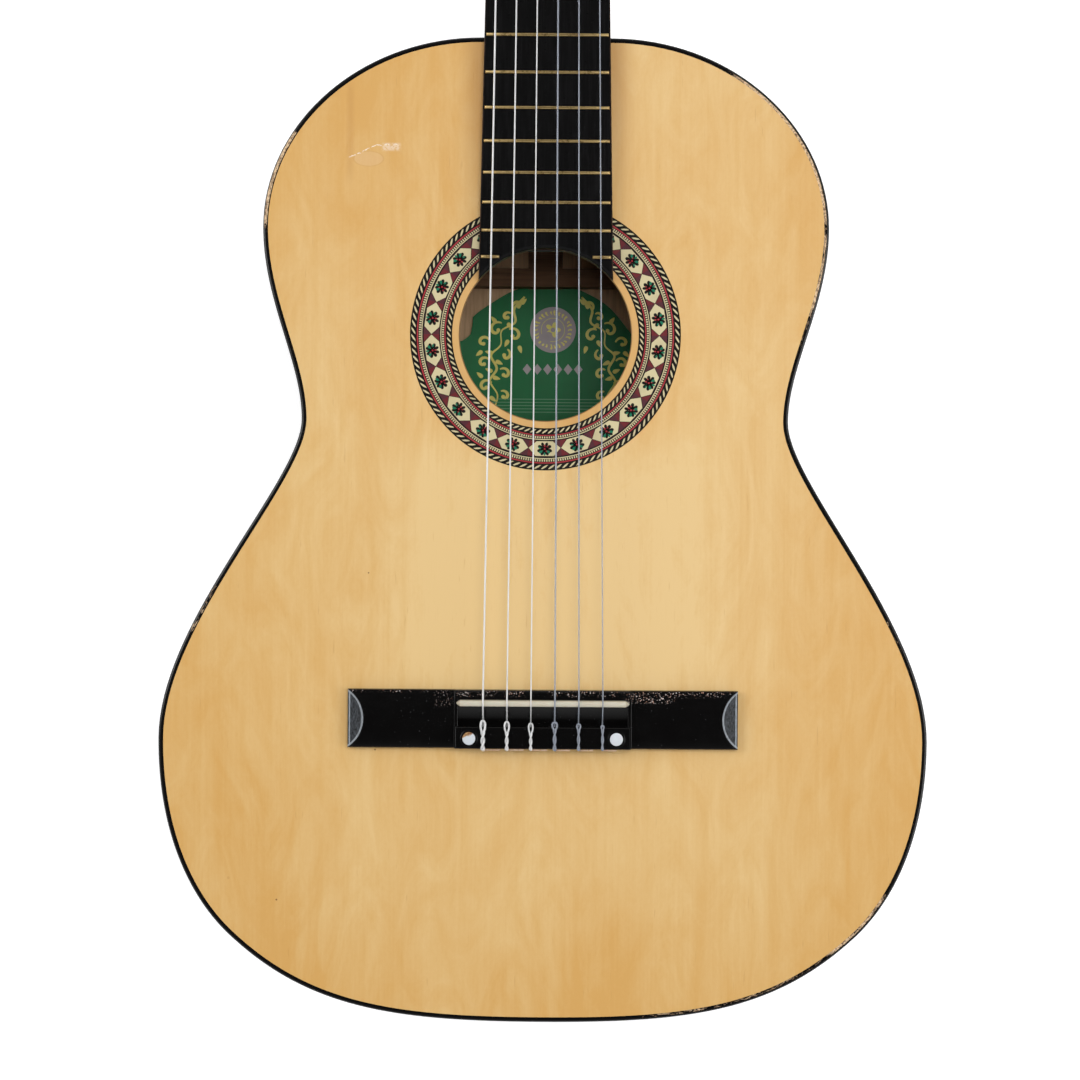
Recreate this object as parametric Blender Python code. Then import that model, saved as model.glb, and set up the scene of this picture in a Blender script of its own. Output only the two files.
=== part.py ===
"""A full-size classical guitar as an assembly of separate solids, lying on its back.

Frame: +Z up out of the soundboard, +Y along the strings towards the head, +X towards the treble side.
The origin is on the surface the guitar lies on, under the middle of the instrument's length.
Body parts are placed from the tail (the station y = 0 of the plan), and TAIL_Y shifts them into the frame.
The head has a frame of its own: u across, v along the head from the nut, n out of its face.
"""

import math

import bmesh
import bpy
from mathutils import Matrix, Vector
from mathutils.geometry import interpolate_bezier

MM = 0.001
GAP = 0.3 * MM          # between pieces that are glued or rest on each other
INLAY_GAP = 0.1 * MM    # round an inlay that is let into its bed

# Driving dimensions of the instrument
SCALE_LENGTH = 650 * MM
BODY_LENGTH = 481.5 * MM
BODY_DEPTH = 95 * MM
PLATE = 2.5 * MM            # soundboard and back
RIB = 2.0 * MM              # bent sides
BINDING_WIDTH = 2.5 * MM
BINDING_HEIGHT = 5.0 * MM
TOP_Z = BODY_DEPTH
FLOOR_CLEARANCE = 0.2 * MM  # the back panel alone carries the instrument

# Half of the body's plan, as knots on one smooth curve: (half width, distance from the tail)
HEEL_FLAT = 32.0 * MM
UPPER_BOUT = (138.5 * MM, 388.5 * MM)
WAIST = (119.0 * MM, 294.0 * MM)
LOWER_BOUT = (188.0 * MM, 138.0 * MM)
# Length of the two handles between each knot and the next, and the number of points on that stretch
SHOULDER_CURVE = (59.0 * MM, 50.5 * MM, 10)
UPPER_CURVE = (36.5 * MM, 28.0 * MM, 7)
LOWER_CURVE = (29.5 * MM, 56.5 * MM, 9)
CORNER_CURVE = (46.5 * MM, 26.0 * MM, 7)
TAIL_CURVE = (53.0 * MM, 72.5 * MM, 8)
LOWER_CORNER = (153.0 * MM, 42.0 * MM)
LOWER_CORNER_SLOPE = math.radians(43)   # the curve's direction there, from square across

# Soundhole and rosette
SOUNDHOLE_STATION = 336.0 * MM
SOUNDHOLE_RADIUS = 42.0 * MM
ROSETTE_INNER = 45.6 * MM
ROSETTE_OUTER = 66.2 * MM
ROSETTE_DEPTH = 0.8 * MM

# Neck, fingerboard and head
NUT_HALF = 25.0 * MM
JOINT_HALF = 30.7 * MM          # half width where the neck meets the body, at the twelfth fret
NECK_DEPTH_NUT = 15.5 * MM
NECK_DEPTH_HEEL = 18.5 * MM
HEEL_RUN = 62.0 * MM
HEEL_CAP_HALF = 11.0 * MM
BOARD_THICKNESS = 5.6 * MM
FRET_COUNT = 19
FRET_HEIGHT = 1.0 * MM
FRET_WIDTH = 2.2 * MM
NUT_THICKNESS = 5.0 * MM
NUT_HEIGHT = 7.4 * MM
HEAD_TILT = math.radians(15)
HEAD_LENGTH = 188.0 * MM
HEAD_THICKNESS = 19.0 * MM
HEAD_HALF = 35.0 * MM
VENEER = 1.5 * MM
SLOT_INNER = 7.0 * MM
SLOT_OUTER = 22.5 * MM
SLOT_START = 12.0 * MM
SLOT_END = 140.0 * MM

# Bridge, measured from its own middle
BRIDGE_HALF_LENGTH = 95.0 * MM
BRIDGE_HALF_WIDTH = 14.25 * MM
BRIDGE_CORE_HALF = 43.0 * MM
TIE_BLOCK_HEIGHT = 8.8 * MM
WING_EDGE = 4.2 * MM
WING_CROWN = 5.7 * MM
SADDLE_OFFSET = 8.0 * MM        # from the bridge's middle towards the head
SADDLE_HALF_LENGTH = 42.0 * MM
SADDLE_HALF_WIDTH = 1.45 * MM
SADDLE_HEIGHT = 12.0 * MM
TIE_HOLE_HEIGHT = 4.6 * MM
TIE_HOLE_RADIUS = 1.0 * MM
TIE_FACE = -3.5 * MM            # front face of the tie block
BOLT_X = 35.8 * MM
BOLT_OFFSET = -9.2 * MM
BOLT_RADIUS = 1.8 * MM
BOLT_HEAD_RADIUS = 2.9 * MM
CAP_RADIUS = 3.3 * MM
CAP_THICKNESS = 1.4 * MM

# Strings, bass to treble
STRING_RADII = [0.55 * MM, 0.45 * MM, 0.38 * MM, 0.51 * MM, 0.41 * MM, 0.36 * MM]
SPREAD_AT_SADDLE = 58.0 * MM
SPREAD_AT_NUT = 43.5 * MM

# Tuning machines: three on a plate, worm and wheel
ROLLER_STATIONS = [50.0 * MM, 85.0 * MM, 120.0 * MM]
ROLLER_DEPTH = 9.5 * MM
ROLLER_RADIUS = 5.0 * MM
ROLLER_NECK = 3.0 * MM
ROLLER_STUB = 2.0 * MM
RUNNING = 0.3 * MM
PLATE_THICKNESS = 1.2 * MM
GEAR_TEETH = 14
GEAR_MODULE = 0.75 * MM
GEAR_PITCH_RADIUS = GEAR_TEETH * GEAR_MODULE / 2
GEAR_ADDENDUM = 0.55 * MM
GEAR_DEDENDUM = 0.85 * MM
GEAR_WIDTH = 3.0 * MM
GEAR_STANDOFF = 3.4 * MM        # from the plate's outer face to the gear's middle
WORM_PITCH_RADIUS = 2.4 * MM
WORM_CREST = 0.5 * MM
WORM_ROOT = 0.8 * MM
WORM_TURNS = 3.0
WORM_SHAFT = 1.4 * MM
LEAD = math.pi * GEAR_MODULE
CENTRE_DISTANCE = GEAR_PITCH_RADIUS + WORM_PITCH_RADIUS
LUG_INNER = 5.6 * MM            # from the worm's middle to each bearing lug
LUG_THICKNESS = 2.0 * MM

# End pin
PIN_LENGTH = 9.0 * MM
PIN_RADIUS = 6.0 * MM

OVERALL_LENGTH = (
    PIN_LENGTH + BODY_LENGTH + SCALE_LENGTH / 2 + NUT_THICKNESS
    + (HEAD_LENGTH * math.cos(HEAD_TILT) + VENEER * math.sin(HEAD_TILT))
)
TAIL_Y = -OVERALL_LENGTH / 2 + PIN_LENGTH
JOINT_Y = TAIL_Y + BODY_LENGTH
NUT_Y = JOINT_Y + SCALE_LENGTH / 2
SADDLE_Y = JOINT_Y - SCALE_LENGTH / 2
BRIDGE_Y = SADDLE_Y - SADDLE_OFFSET
HOLE_Y = TAIL_Y + SOUNDHOLE_STATION
HEAD_ORIGIN = Vector((0, NUT_Y + NUT_THICKNESS, TOP_Z))
HEAD_FRAME = Matrix.Translation(HEAD_ORIGIN) @ Matrix.Rotation(-HEAD_TILT, 4, "X")

MATERIALS = {
    # name: (base colour, roughness, metallic)
    "spruce": ((0.72, 0.44, 0.16, 1), 0.35, 0.0),
    "black_lacquer": ((0.012, 0.011, 0.011, 1), 0.25, 0.0),
    "inner_wood": ((0.42, 0.26, 0.13, 1), 0.7, 0.0),
    "neck_wood": ((0.18, 0.07, 0.03, 1), 0.35, 0.0),
    "rosette_print": ((0.35, 0.26, 0.15, 1), 0.4, 0.0),
    "cream_plastic": ((0.75, 0.71, 0.58, 1), 0.35, 0.0),
    "white_plastic": ((0.80, 0.82, 0.84, 1), 0.3, 0.0),
    "green_paper": ((0.02, 0.12, 0.04, 1), 0.5, 0.0),
    "steel": ((0.55, 0.55, 0.57, 1), 0.3, 1.0),
    "brass": ((0.72, 0.50, 0.20, 1), 0.3, 1.0),
    "wound_string": ((0.75, 0.75, 0.77, 1), 0.3, 1.0),
    "nylon": ((0.80, 0.82, 0.85, 0.5), 0.25, 0.0),
}


def clear_scene():
    for obj in list(bpy.data.objects):
        bpy.data.objects.remove(obj, do_unlink=True)


def material(name):
    found = bpy.data.materials.get(name)
    if found:
        return found
    colour, roughness, metallic = MATERIALS[name]
    made = bpy.data.materials.new(name)
    made.use_nodes = True
    shader = made.node_tree.nodes["Principled BSDF"]
    shader.inputs["Base Color"].default_value = colour
    shader.inputs["Roughness"].default_value = roughness
    shader.inputs["Metallic"].default_value = metallic
    made.diffuse_color = colour
    return made


def piece_from_bmesh(name, bm, finish, helper=False):
    bmesh.ops.remove_doubles(bm, verts=bm.verts, dist=1e-7)
    bmesh.ops.recalc_face_normals(bm, faces=bm.faces)
    mesh = bpy.data.meshes.new(name)
    bm.to_mesh(mesh)
    bm.free()
    obj = bpy.data.objects.new(name, mesh)
    bpy.context.scene.collection.objects.link(obj)
    if helper:
        obj.hide_render = True
        obj.display_type = "WIRE"
    else:
        mesh.materials.append(material(finish))
    return obj


def prism(name, outline, low, high, finish=None, place=None, helper=False):
    """A solid whose outline, a list of (a, b), is carried from low to high along the third axis.
    place(a, b, c) gives the point in the frame; without it the outline lies in XY."""
    place = place or (lambda a, b, c: (a, b, c))
    bm = bmesh.new()
    bottom = [bm.verts.new(place(a, b, low)) for a, b in outline]
    top = [bm.verts.new(place(a, b, high)) for a, b in outline]
    bm.faces.new(bottom[::-1])
    bm.faces.new(top)
    for i in range(len(outline)):
        j = (i + 1) % len(outline)
        bm.faces.new((bottom[i], bottom[j], top[j], top[i]))
    return piece_from_bmesh(name, bm, finish, helper)


def loft(name, sections, finish, helper=False):
    """A closed skin over sections, equal-length lists of points, with a face on each end."""
    bm = bmesh.new()
    rings = [[bm.verts.new(point) for point in section] for section in sections]
    for first, second in zip(rings, rings[1:]):
        for i in range(len(first)):
            j = (i + 1) % len(first)
            bm.faces.new((first[i], first[j], second[j], second[i]))
    bm.faces.new(rings[0][::-1])
    bm.faces.new(rings[-1])
    return piece_from_bmesh(name, bm, finish, helper)


def band(name, outer, inner, low, high, finish, closed=True):
    """A strip of rectangular section between two plan curves with equal numbers of points."""
    bm = bmesh.new()
    rails = []
    for curve, z in ((outer, low), (outer, high), (inner, high), (inner, low)):
        rails.append([bm.verts.new((x, y, z)) for x, y in curve])
    count = len(outer)
    for k in range(4):
        first, second = rails[k], rails[(k + 1) % 4]
        for i in range(count if closed else count - 1):
            j = (i + 1) % count
            bm.faces.new((first[i], first[j], second[j], second[i]))
    if not closed:
        bm.faces.new([rail[0] for rail in rails])
        bm.faces.new([rail[-1] for rail in rails])
    return piece_from_bmesh(name, bm, finish)


def turned(name, profile, frame, finish, steps=12, helper=False):
    """A solid turned about the frame's Z: profile is a list of (distance along the axis, radius)."""
    sections = []
    for along, radius in profile:
        ring = []
        for k in range(steps):
            angle = math.tau * k / steps
            ring.append(frame @ Vector((radius * math.cos(angle), radius * math.sin(angle), along)))
        sections.append(ring)
    return loft(name, sections, finish, helper)


def drill(target, name, frame, low, high, radius, steps=12):
    """Cuts a round hole along the frame's Z, from low to high."""
    cutter = turned(name, [(low, radius), (high, radius)], frame, None, steps, helper=True)
    boolean(target, cutter, "DIFFERENCE")


def boolean(target, other, operation):
    modifier = target.modifiers.new(other.name, "BOOLEAN")
    modifier.operation = operation
    modifier.object = other
    modifier.solver = "EXACT"


def carry_on(obj, frame):
    """Puts the object's origin and axes on frame, its joint's axis, and leaves its shape where it is."""
    obj.data.transform(frame.inverted())
    obj.matrix_world = frame


def axis_frame(origin, axis):
    """A frame at origin with its Z along axis."""
    return Matrix.Translation(Vector(origin)) @ Vector(axis).to_track_quat("Z", "Y").to_matrix().to_4x4()


# ---------------------------------------------------------------- body plan

def half_plan():
    """The treble half of the body's plan from the heel to the tail, in stations from the tail."""
    def stretch(start, start_pull, end_pull, end, count):
        knots = [Vector((*point, 0)) for point in (start, start_pull, end_pull, end)]
        return [(p.x, p.y) for p in interpolate_bezier(*knots, count + 1)[:-1]]

    heel = (HEEL_FLAT, BODY_LENGTH)
    tail = (0.0, 0.0)
    plan = stretch(heel, (HEEL_FLAT + SHOULDER_CURVE[0], BODY_LENGTH),
                   (UPPER_BOUT[0], UPPER_BOUT[1] + SHOULDER_CURVE[1]), UPPER_BOUT, SHOULDER_CURVE[2])
    plan += stretch(UPPER_BOUT, (UPPER_BOUT[0], UPPER_BOUT[1] - UPPER_CURVE[0]),
                    (WAIST[0], WAIST[1] + UPPER_CURVE[1]), WAIST, UPPER_CURVE[2])
    plan += stretch(WAIST, (WAIST[0], WAIST[1] - LOWER_CURVE[0]),
                    (LOWER_BOUT[0], LOWER_BOUT[1] + LOWER_CURVE[1]), LOWER_BOUT, LOWER_CURVE[2])
    across, down = math.cos(LOWER_CORNER_SLOPE), math.sin(LOWER_CORNER_SLOPE)
    corner_in = (LOWER_CORNER[0] + CORNER_CURVE[1] * across, LOWER_CORNER[1] + CORNER_CURVE[1] * down)
    corner_out = (LOWER_CORNER[0] - TAIL_CURVE[0] * across, LOWER_CORNER[1] - TAIL_CURVE[0] * down)
    plan += stretch(LOWER_BOUT, (LOWER_BOUT[0], LOWER_BOUT[1] - CORNER_CURVE[0]), corner_in,
                    LOWER_CORNER, CORNER_CURVE[2])
    plan += stretch(LOWER_CORNER, corner_out, (TAIL_CURVE[1], 0.0), tail, TAIL_CURVE[2])
    return plan + [tail]


def body_plan():
    """The whole plan, clockwise from the heel's treble corner, as (x, y) in the frame."""
    half = half_plan()
    other = [(-x, y) for x, y in half[-2::-1]]
    return [(x, y + TAIL_Y) for x, y in half + other]


def inset_plan(curve, distance):
    """A closed clockwise curve moved inwards by distance along its normals."""
    moved = []
    count = len(curve)
    for i, (x, y) in enumerate(curve):
        before = Vector(curve[i - 1])
        after = Vector(curve[(i + 1) % count])
        along = (after - before).normalized()
        moved.append((x + along.y * distance, y - along.x * distance))
    return moved


def treble_part(curve):
    """The stretch of the plan from the heel's middle to the tail, on the treble side."""
    half_count = len(half_plan())
    start = (INLAY_GAP, curve[0][1])
    part = curve[:half_count]
    end = (INLAY_GAP, part[-1][1])
    return [start, *part[:-1], end]


def mirrored(curve):
    return [(-x, y) for x, y in curve]


def circle(radius, steps, centre=(0.0, 0.0)):
    angles = [math.tau * k / steps for k in range(steps)]
    return [(centre[0] + radius * math.cos(a), centre[1] + radius * math.sin(a)) for a in angles]


# ---------------------------------------------------------------- body

def make_plates(plan):
    """Soundboard with its soundhole and bolt holes, and the flat back panel."""
    bed = inset_plan(plan, BINDING_WIDTH + INLAY_GAP)
    soundboard = prism("soundboard", bed, TOP_Z - PLATE, TOP_Z, "spruce")
    hole = axis_frame((0, HOLE_Y, TOP_Z), (0, 0, 1))
    drill(soundboard, "soundhole_cutter", hole, -2 * PLATE, PLATE, SOUNDHOLE_RADIUS, steps=44)
    groove = ring_cutter("rosette_groove", HOLE_Y, ROSETTE_INNER - INLAY_GAP, ROSETTE_OUTER + INLAY_GAP,
                         TOP_Z - ROSETTE_DEPTH - INLAY_GAP, TOP_Z + PLATE)
    boolean(soundboard, groove, "DIFFERENCE")
    for side, word in ((-1, "bass"), (1, "treble")):
        bolt = axis_frame((side * BOLT_X, BRIDGE_Y + BOLT_OFFSET, TOP_Z), (0, 0, 1))
        drill(soundboard, f"soundboard_bolt_hole_{word}", bolt, -2 * PLATE, PLATE,
              BOLT_RADIUS + RUNNING, steps=8)
    prism("back_panel", bed, 0.0, PLATE, "black_lacquer")


def ring_cutter(name, y, inner, outer, low, high, steps=44):
    bm_outer = circle(outer, steps, (0.0, y))
    bm_inner = circle(inner, steps, (0.0, y))
    cutter = band(name, bm_outer, bm_inner, low, high, "rosette_print")
    cutter.hide_render = True
    cutter.display_type = "WIRE"
    return cutter


def make_rosette():
    """The decorated ring let into the soundboard. The fingerboard covers its upper part."""
    outer = circle(ROSETTE_OUTER, 44, (0.0, HOLE_Y))
    inner = circle(ROSETTE_INNER, 44, (0.0, HOLE_Y))
    band("rosette", outer, inner, TOP_Z - ROSETTE_DEPTH, TOP_Z, "rosette_print")


def make_rim(plan):
    """Bent sides, edge bindings and the linings glued inside the corners."""
    inner = inset_plan(plan, RIB)
    low = FLOOR_CLEARANCE + BINDING_HEIGHT + INLAY_GAP
    high = TOP_Z - BINDING_HEIGHT - INLAY_GAP
    outside, inside = treble_part(plan), treble_part(inner)
    band("treble_side", outside, inside, low, high, "black_lacquer", closed=False)
    band("bass_side", mirrored(outside), mirrored(inside), low, high, "black_lacquer", closed=False)
    bound = inset_plan(plan, BINDING_WIDTH)
    band("top_binding", plan, bound, TOP_Z - BINDING_HEIGHT, TOP_Z, "black_lacquer")
    band("back_binding", plan, bound, FLOOR_CLEARANCE, FLOOR_CLEARANCE + BINDING_HEIGHT, "black_lacquer")
    make_lining(plan, "top_lining", TOP_Z - PLATE - GAP - 14 * MM, TOP_Z - PLATE - GAP)
    make_lining(plan, "back_lining", PLATE + GAP, PLATE + GAP + 14 * MM)


LINING_OUTER = BINDING_WIDTH + GAP
LINING_INNER = LINING_OUTER + 5.0 * MM
BLOCK_HALF = 34.0 * MM


def make_lining(plan, name, low, high):
    """One strip round the inside of the rim, from one side of the neck block to the other."""
    half_count = len(half_plan())
    outer = inset_plan(plan, LINING_OUTER)
    inner = inset_plan(plan, LINING_INNER)
    start = next(i for i in range(half_count) if outer[i][0] > BLOCK_HALF + 2 * MM)
    stop = len(plan) - start
    band(name, outer[start:stop], inner[start:stop], low, high, "inner_wood", closed=False)


def box(name, x0, x1, y0, y1, z0, z1, finish, helper=False):
    return prism(name, [(x0, y0), (x1, y0), (x1, y1), (x0, y1)], z0, z1, finish, helper=helper)


def make_blocks():
    """Neck block, tail block and the end pin that fits the tail block's bore."""
    low, high = PLATE + GAP, TOP_Z - PLATE - GAP
    top_y = JOINT_Y - BINDING_WIDTH - GAP
    box("neck_block", -BLOCK_HALF, BLOCK_HALF, top_y - 32 * MM, top_y, low, high, "inner_wood")
    tail_low = TAIL_Y + LINING_INNER + 2 * MM
    block = box("tail_block", -30 * MM, 30 * MM, tail_low, tail_low + 12 * MM, low, high, "inner_wood")
    pin_frame = axis_frame((0, TAIL_Y, BODY_DEPTH / 2), (0, 1, 0))
    drill(block, "tail_bore", pin_frame, 0.0, 40 * MM, 3.6 * MM)
    rib_hole = turned("rib_bore", [(-5 * MM, 3.6 * MM), (8 * MM, 3.6 * MM)], pin_frame, None, helper=True)
    for side in ("treble_side", "bass_side"):
        boolean(bpy.data.objects[side], rib_hole, "DIFFERENCE")
    turned("end_pin", [
        (-PIN_LENGTH, 2.2 * MM), (-PIN_LENGTH + 1.0 * MM, PIN_RADIUS - 1.2 * MM),
        (-PIN_LENGTH + 2.6 * MM, PIN_RADIUS), (-PIN_LENGTH + 4.0 * MM, PIN_RADIUS - 0.8 * MM),
        (-PIN_LENGTH + 5.4 * MM, 3.6 * MM), (-2.6 * MM, 3.4 * MM), (-1.6 * MM, 4.9 * MM),
        (-GAP, 5.0 * MM), (-GAP + INLAY_GAP, 3.3 * MM), (18 * MM, 2.8 * MM),
    ], pin_frame, "white_plastic", steps=16)


BRACE_HEIGHT = 12.0 * MM
FAN_HEIGHT = 5.0 * MM


def rim_half_width(y, clearance):
    """Half the body's inner width at y, less the linings and a clearance."""
    half = half_plan()
    station = y - TAIL_Y
    widths = []
    for (x0, y0), (x1, y1) in zip(half, half[1:]):
        if min(y0, y1) <= station <= max(y0, y1) and y0 != y1:
            widths.append(x0 + (x1 - x0) * (station - y0) / (y1 - y0))
    return min(widths) - LINING_INNER - clearance


def brace_outline(half, height):
    """Side view of a cross brace that tapers at both ends: (x, height) points."""
    tip = 1.5 * MM
    run = 28 * MM
    return [(-half, 0), (half, 0), (half, tip), (half - run, height), (run - half, height), (-half, tip)]


def cross_brace(name, y, width, on_soundboard, helper=False):
    """A brace across the body at y, glued under the soundboard or on the back."""
    half = min(rim_half_width(y - width / 2, 2 * MM), rim_half_width(y + width / 2, 2 * MM))
    base = TOP_Z - PLATE - GAP if on_soundboard else PLATE + GAP
    way = -1 if on_soundboard else 1
    outline = brace_outline(half, BRACE_HEIGHT)
    return prism(name, outline, y - width / 2, y + width / 2, "inner_wood",
                 place=lambda a, b, c: (a, c, base + way * b), helper=helper)


def make_bracing():
    """Braces above and below the soundhole, five fan braces with the bridge plate, and the back's ladder."""
    margin = SOUNDHOLE_RADIUS + 12 * MM
    cross_brace("upper_brace", HOLE_Y + margin, 10 * MM, True)
    cross_brace("lower_brace", HOLE_Y - margin, 10 * MM, True)

    base = TOP_Z - PLATE - GAP
    fan_top = HOLE_Y - margin - 8 * MM
    fan_low = TAIL_Y + 42 * MM
    plate_y = BRIDGE_Y
    fans = prism("fan_bracing", [(-92 * MM, plate_y - 17 * MM), (92 * MM, plate_y - 17 * MM),
                                 (92 * MM, plate_y + 17 * MM), (-92 * MM, plate_y + 17 * MM)],
                 base - 2.0 * MM, base, "inner_wood")
    for k in range(-2, 3):
        near, far = 17 * MM * k, 38 * MM * k
        half = 3 * MM
        outline = [(far - half, fan_low), (far + half, fan_low),
                   (near + half, fan_top), (near - half, fan_top)]
        fan = prism(f"fan_{k + 3}", outline, base - FAN_HEIGHT, base, None, helper=True)
        boolean(fans, fan, "UNION")
    for side, word in ((-1, "bass"), (1, "treble")):
        bolt = axis_frame((side * BOLT_X, BRIDGE_Y + BOLT_OFFSET, base), (0, 0, 1))
        drill(fans, f"plate_bolt_hole_{word}", bolt, -3 * FAN_HEIGHT, FAN_HEIGHT,
              BOLT_RADIUS + RUNNING, steps=8)

    strip_low, strip_high = TAIL_Y + 30 * MM, TAIL_Y + 424 * MM
    strip = box("back_bracing", -9 * MM, 9 * MM, strip_low, strip_high,
                PLATE + GAP, PLATE + GAP + 2.0 * MM, "inner_wood")
    bay_half = LABEL_HALF_LENGTH + MM
    label_bay = box("label_bay", -20 * MM, 20 * MM, LABEL_Y - bay_half, LABEL_Y + bay_half,
                    LABEL_BED, BRACE_HEIGHT, None, helper=True)
    for number, station in enumerate((86 * MM, 208 * MM, 373 * MM)):
        rung = cross_brace(f"back_brace_{number + 1}", TAIL_Y + station, 9.5 * MM, False, helper=True)
        boolean(strip, rung, "UNION")
    boolean(strip, label_bay, "DIFFERENCE")


LABEL_Y = TAIL_Y + 311 * MM
LABEL_X = 1.0 * MM
LABEL_HALF_LENGTH = 56 * MM
LABEL_HALF_WIDTH = 54 * MM
LABEL_BED = PLATE + GAP + 1.2 * MM      # the centre strip is planed down to this height under it


def make_label():
    """The oval paper label on the back, seen through the soundhole. It lies over the centre strip."""
    low = LABEL_BED + INLAY_GAP
    outline = [(LABEL_X + LABEL_HALF_WIDTH * a, LABEL_Y + LABEL_HALF_LENGTH * b) for a, b in circle(1, 32)]
    prism("label", outline, low, low + 0.3 * MM, "green_paper")


# ---------------------------------------------------------------- bridge and strings

def string_x(index, spread):
    return -spread / 2 + spread * index / (len(STRING_RADII) - 1)


def make_bridge():
    """Tie-block bridge: a carved core between two wings whose ends are faceted."""
    def place(a, b, c):
        return (c, BRIDGE_Y + a, TOP_Z + GAP + b)

    slot_half = SADDLE_HALF_WIDTH + INLAY_GAP
    slot_low, slot_high = SADDLE_OFFSET - slot_half, SADDLE_OFFSET + slot_half
    half = BRIDGE_HALF_WIDTH
    core = [
        (-half, 0), (half, 0), (half, 5.8 * MM), (half - 0.7 * MM, 6.6 * MM), (slot_high, 7.0 * MM),
        (slot_high, 2.5 * MM), (slot_low, 2.5 * MM), (slot_low, 6.5 * MM), (-1.5 * MM, 2.6 * MM),
        (TIE_FACE, 2.6 * MM), (TIE_FACE, TIE_BLOCK_HEIGHT - 0.6 * MM),
        (TIE_FACE - 0.6 * MM, TIE_BLOCK_HEIGHT),
        (-half + 0.7 * MM, TIE_BLOCK_HEIGHT), (-half, TIE_BLOCK_HEIGHT - 0.7 * MM),
    ]
    bridge = prism("bridge", core, -BRIDGE_CORE_HALF, BRIDGE_CORE_HALF, "black_lacquer", place)

    shoulder, brow = WING_CROWN - 0.5 * MM, WING_CROWN - 0.1 * MM
    crown = [(-half, 0), (half, 0), (half, WING_EDGE), (0.62 * half, shoulder), (0.3 * half, brow),
             (-0.3 * half, brow), (-0.62 * half, shoulder), (-half, WING_EDGE)]
    facet_run = 6.5 * MM
    facet_slope = (WING_CROWN - WING_EDGE) / facet_run
    for side, word in ((-1, "bass"), (1, "treble")):
        inner, outer = side * (BRIDGE_CORE_HALF - INLAY_GAP), side * BRIDGE_HALF_LENGTH
        wing = prism(f"wing_{word}", crown, min(inner, outer), max(inner, outer), None, place, helper=True)
        near = BRIDGE_HALF_LENGTH - facet_run
        far = BRIDGE_HALF_LENGTH + 5 * MM
        wedge = [(near, WING_CROWN), (far, WING_CROWN - facet_slope * (far - near)),
                 (far, 20 * MM), (near, 20 * MM)]
        cutter = prism(f"facet_{word}", wedge, -2 * half, 2 * half, None, helper=True,
                       place=lambda a, b, c, side=side: (side * a, BRIDGE_Y + c, TOP_Z + GAP + b))
        boolean(bridge, wing, "UNION")
        boolean(bridge, cutter, "DIFFERENCE")
        bolt = axis_frame((side * BOLT_X, BRIDGE_Y + BOLT_OFFSET, TOP_Z), (0, 0, 1))
        drill(bridge, f"bridge_bolt_hole_{word}", bolt, -MM, 20 * MM, BOLT_RADIUS + RUNNING, steps=8)
        cap_floor = TIE_BLOCK_HEIGHT + GAP - CAP_THICKNESS - 2.2 * MM
        drill(bridge, f"cap_seat_{word}", bolt, cap_floor, 20 * MM, CAP_RADIUS + INLAY_GAP, steps=16)
        make_bridge_bolt(bolt, cap_floor, word)
    for index in range(len(STRING_RADII)):
        x = string_x(index, SPREAD_AT_SADDLE)
        frame = axis_frame((x, BRIDGE_Y, TOP_Z + GAP + TIE_HOLE_HEIGHT), (0, 1, 0))
        drill(bridge, f"tie_hole_{index + 1}", frame, -20 * MM, 0.0, TIE_HOLE_RADIUS, steps=8)


def make_bridge_bolt(frame, seat, word):
    """A bolt with its nut under the bridge plate, and the round cap that hides its head."""
    head_top = seat + INLAY_GAP + 2.0 * MM
    under = -PLATE - 2 * GAP - 2.0 * MM
    turned(f"bridge_bolt_{word}", [
        (under - 4.0 * MM, BOLT_RADIUS), (under - 3.5 * MM, BOLT_RADIUS), (under - 3.4 * MM, 3.4 * MM),
        (under - GAP, 3.4 * MM), (under - GAP + INLAY_GAP, BOLT_RADIUS), (seat + INLAY_GAP, BOLT_RADIUS),
        (seat + 1.5 * INLAY_GAP, BOLT_HEAD_RADIUS), (head_top, BOLT_HEAD_RADIUS),
    ], frame, "steel", steps=8)
    cap_low = head_top + INLAY_GAP
    turned(f"bolt_cap_{word}", [
        (cap_low, CAP_RADIUS), (cap_low + CAP_THICKNESS - 0.3 * MM, CAP_RADIUS),
        (cap_low + CAP_THICKNESS, CAP_RADIUS - 0.5 * MM),
    ], frame, "white_plastic", steps=16)


def make_saddle():
    """The saddle strip standing in the bridge's slot, with a rounded top and chamfered ends."""
    half = SADDLE_HALF_WIDTH
    shoulder, brow = SADDLE_HEIGHT - 0.8 * MM, SADDLE_HEIGHT - 0.2 * MM
    section = [(-half, 2.8 * MM), (half, 2.8 * MM), (half, shoulder), (0.6 * half, brow),
               (0, SADDLE_HEIGHT), (-0.6 * half, brow), (-half, shoulder)]
    prism("saddle", section, -SADDLE_HALF_LENGTH, SADDLE_HALF_LENGTH, "cream_plastic",
          place=lambda a, b, c: (c, SADDLE_Y + a, TOP_Z + GAP + b))


def rounded(points, radius, steps=3):
    """A polyline with each inner corner eased by a short quadratic curve."""
    points = [Vector(p) for p in points]
    eased = [points[0]]
    for before, corner, after in zip(points, points[1:], points[2:]):
        reach = min(radius, (before - corner).length / 2.2, (after - corner).length / 2.2)
        start = corner + (before - corner).normalized() * reach
        end = corner + (after - corner).normalized() * reach
        for k in range(steps):
            t = k / (steps - 1)
            eased.append(start * (1 - t) ** 2 + corner * 2 * t * (1 - t) + end * t * t)
    return eased + [points[-1]]


def head_point(u, v, n):
    return HEAD_FRAME @ Vector((u, v, n))


def roller_of(index):
    """Side (-1 bass, 1 treble), station along the head and the string's place across the slot."""
    side = -1 if index < 3 else 1
    order = index if side < 0 else 5 - index
    across = (18.0 - 3.0 * order) * MM
    return side, ROLLER_STATIONS[order], side * across


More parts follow.
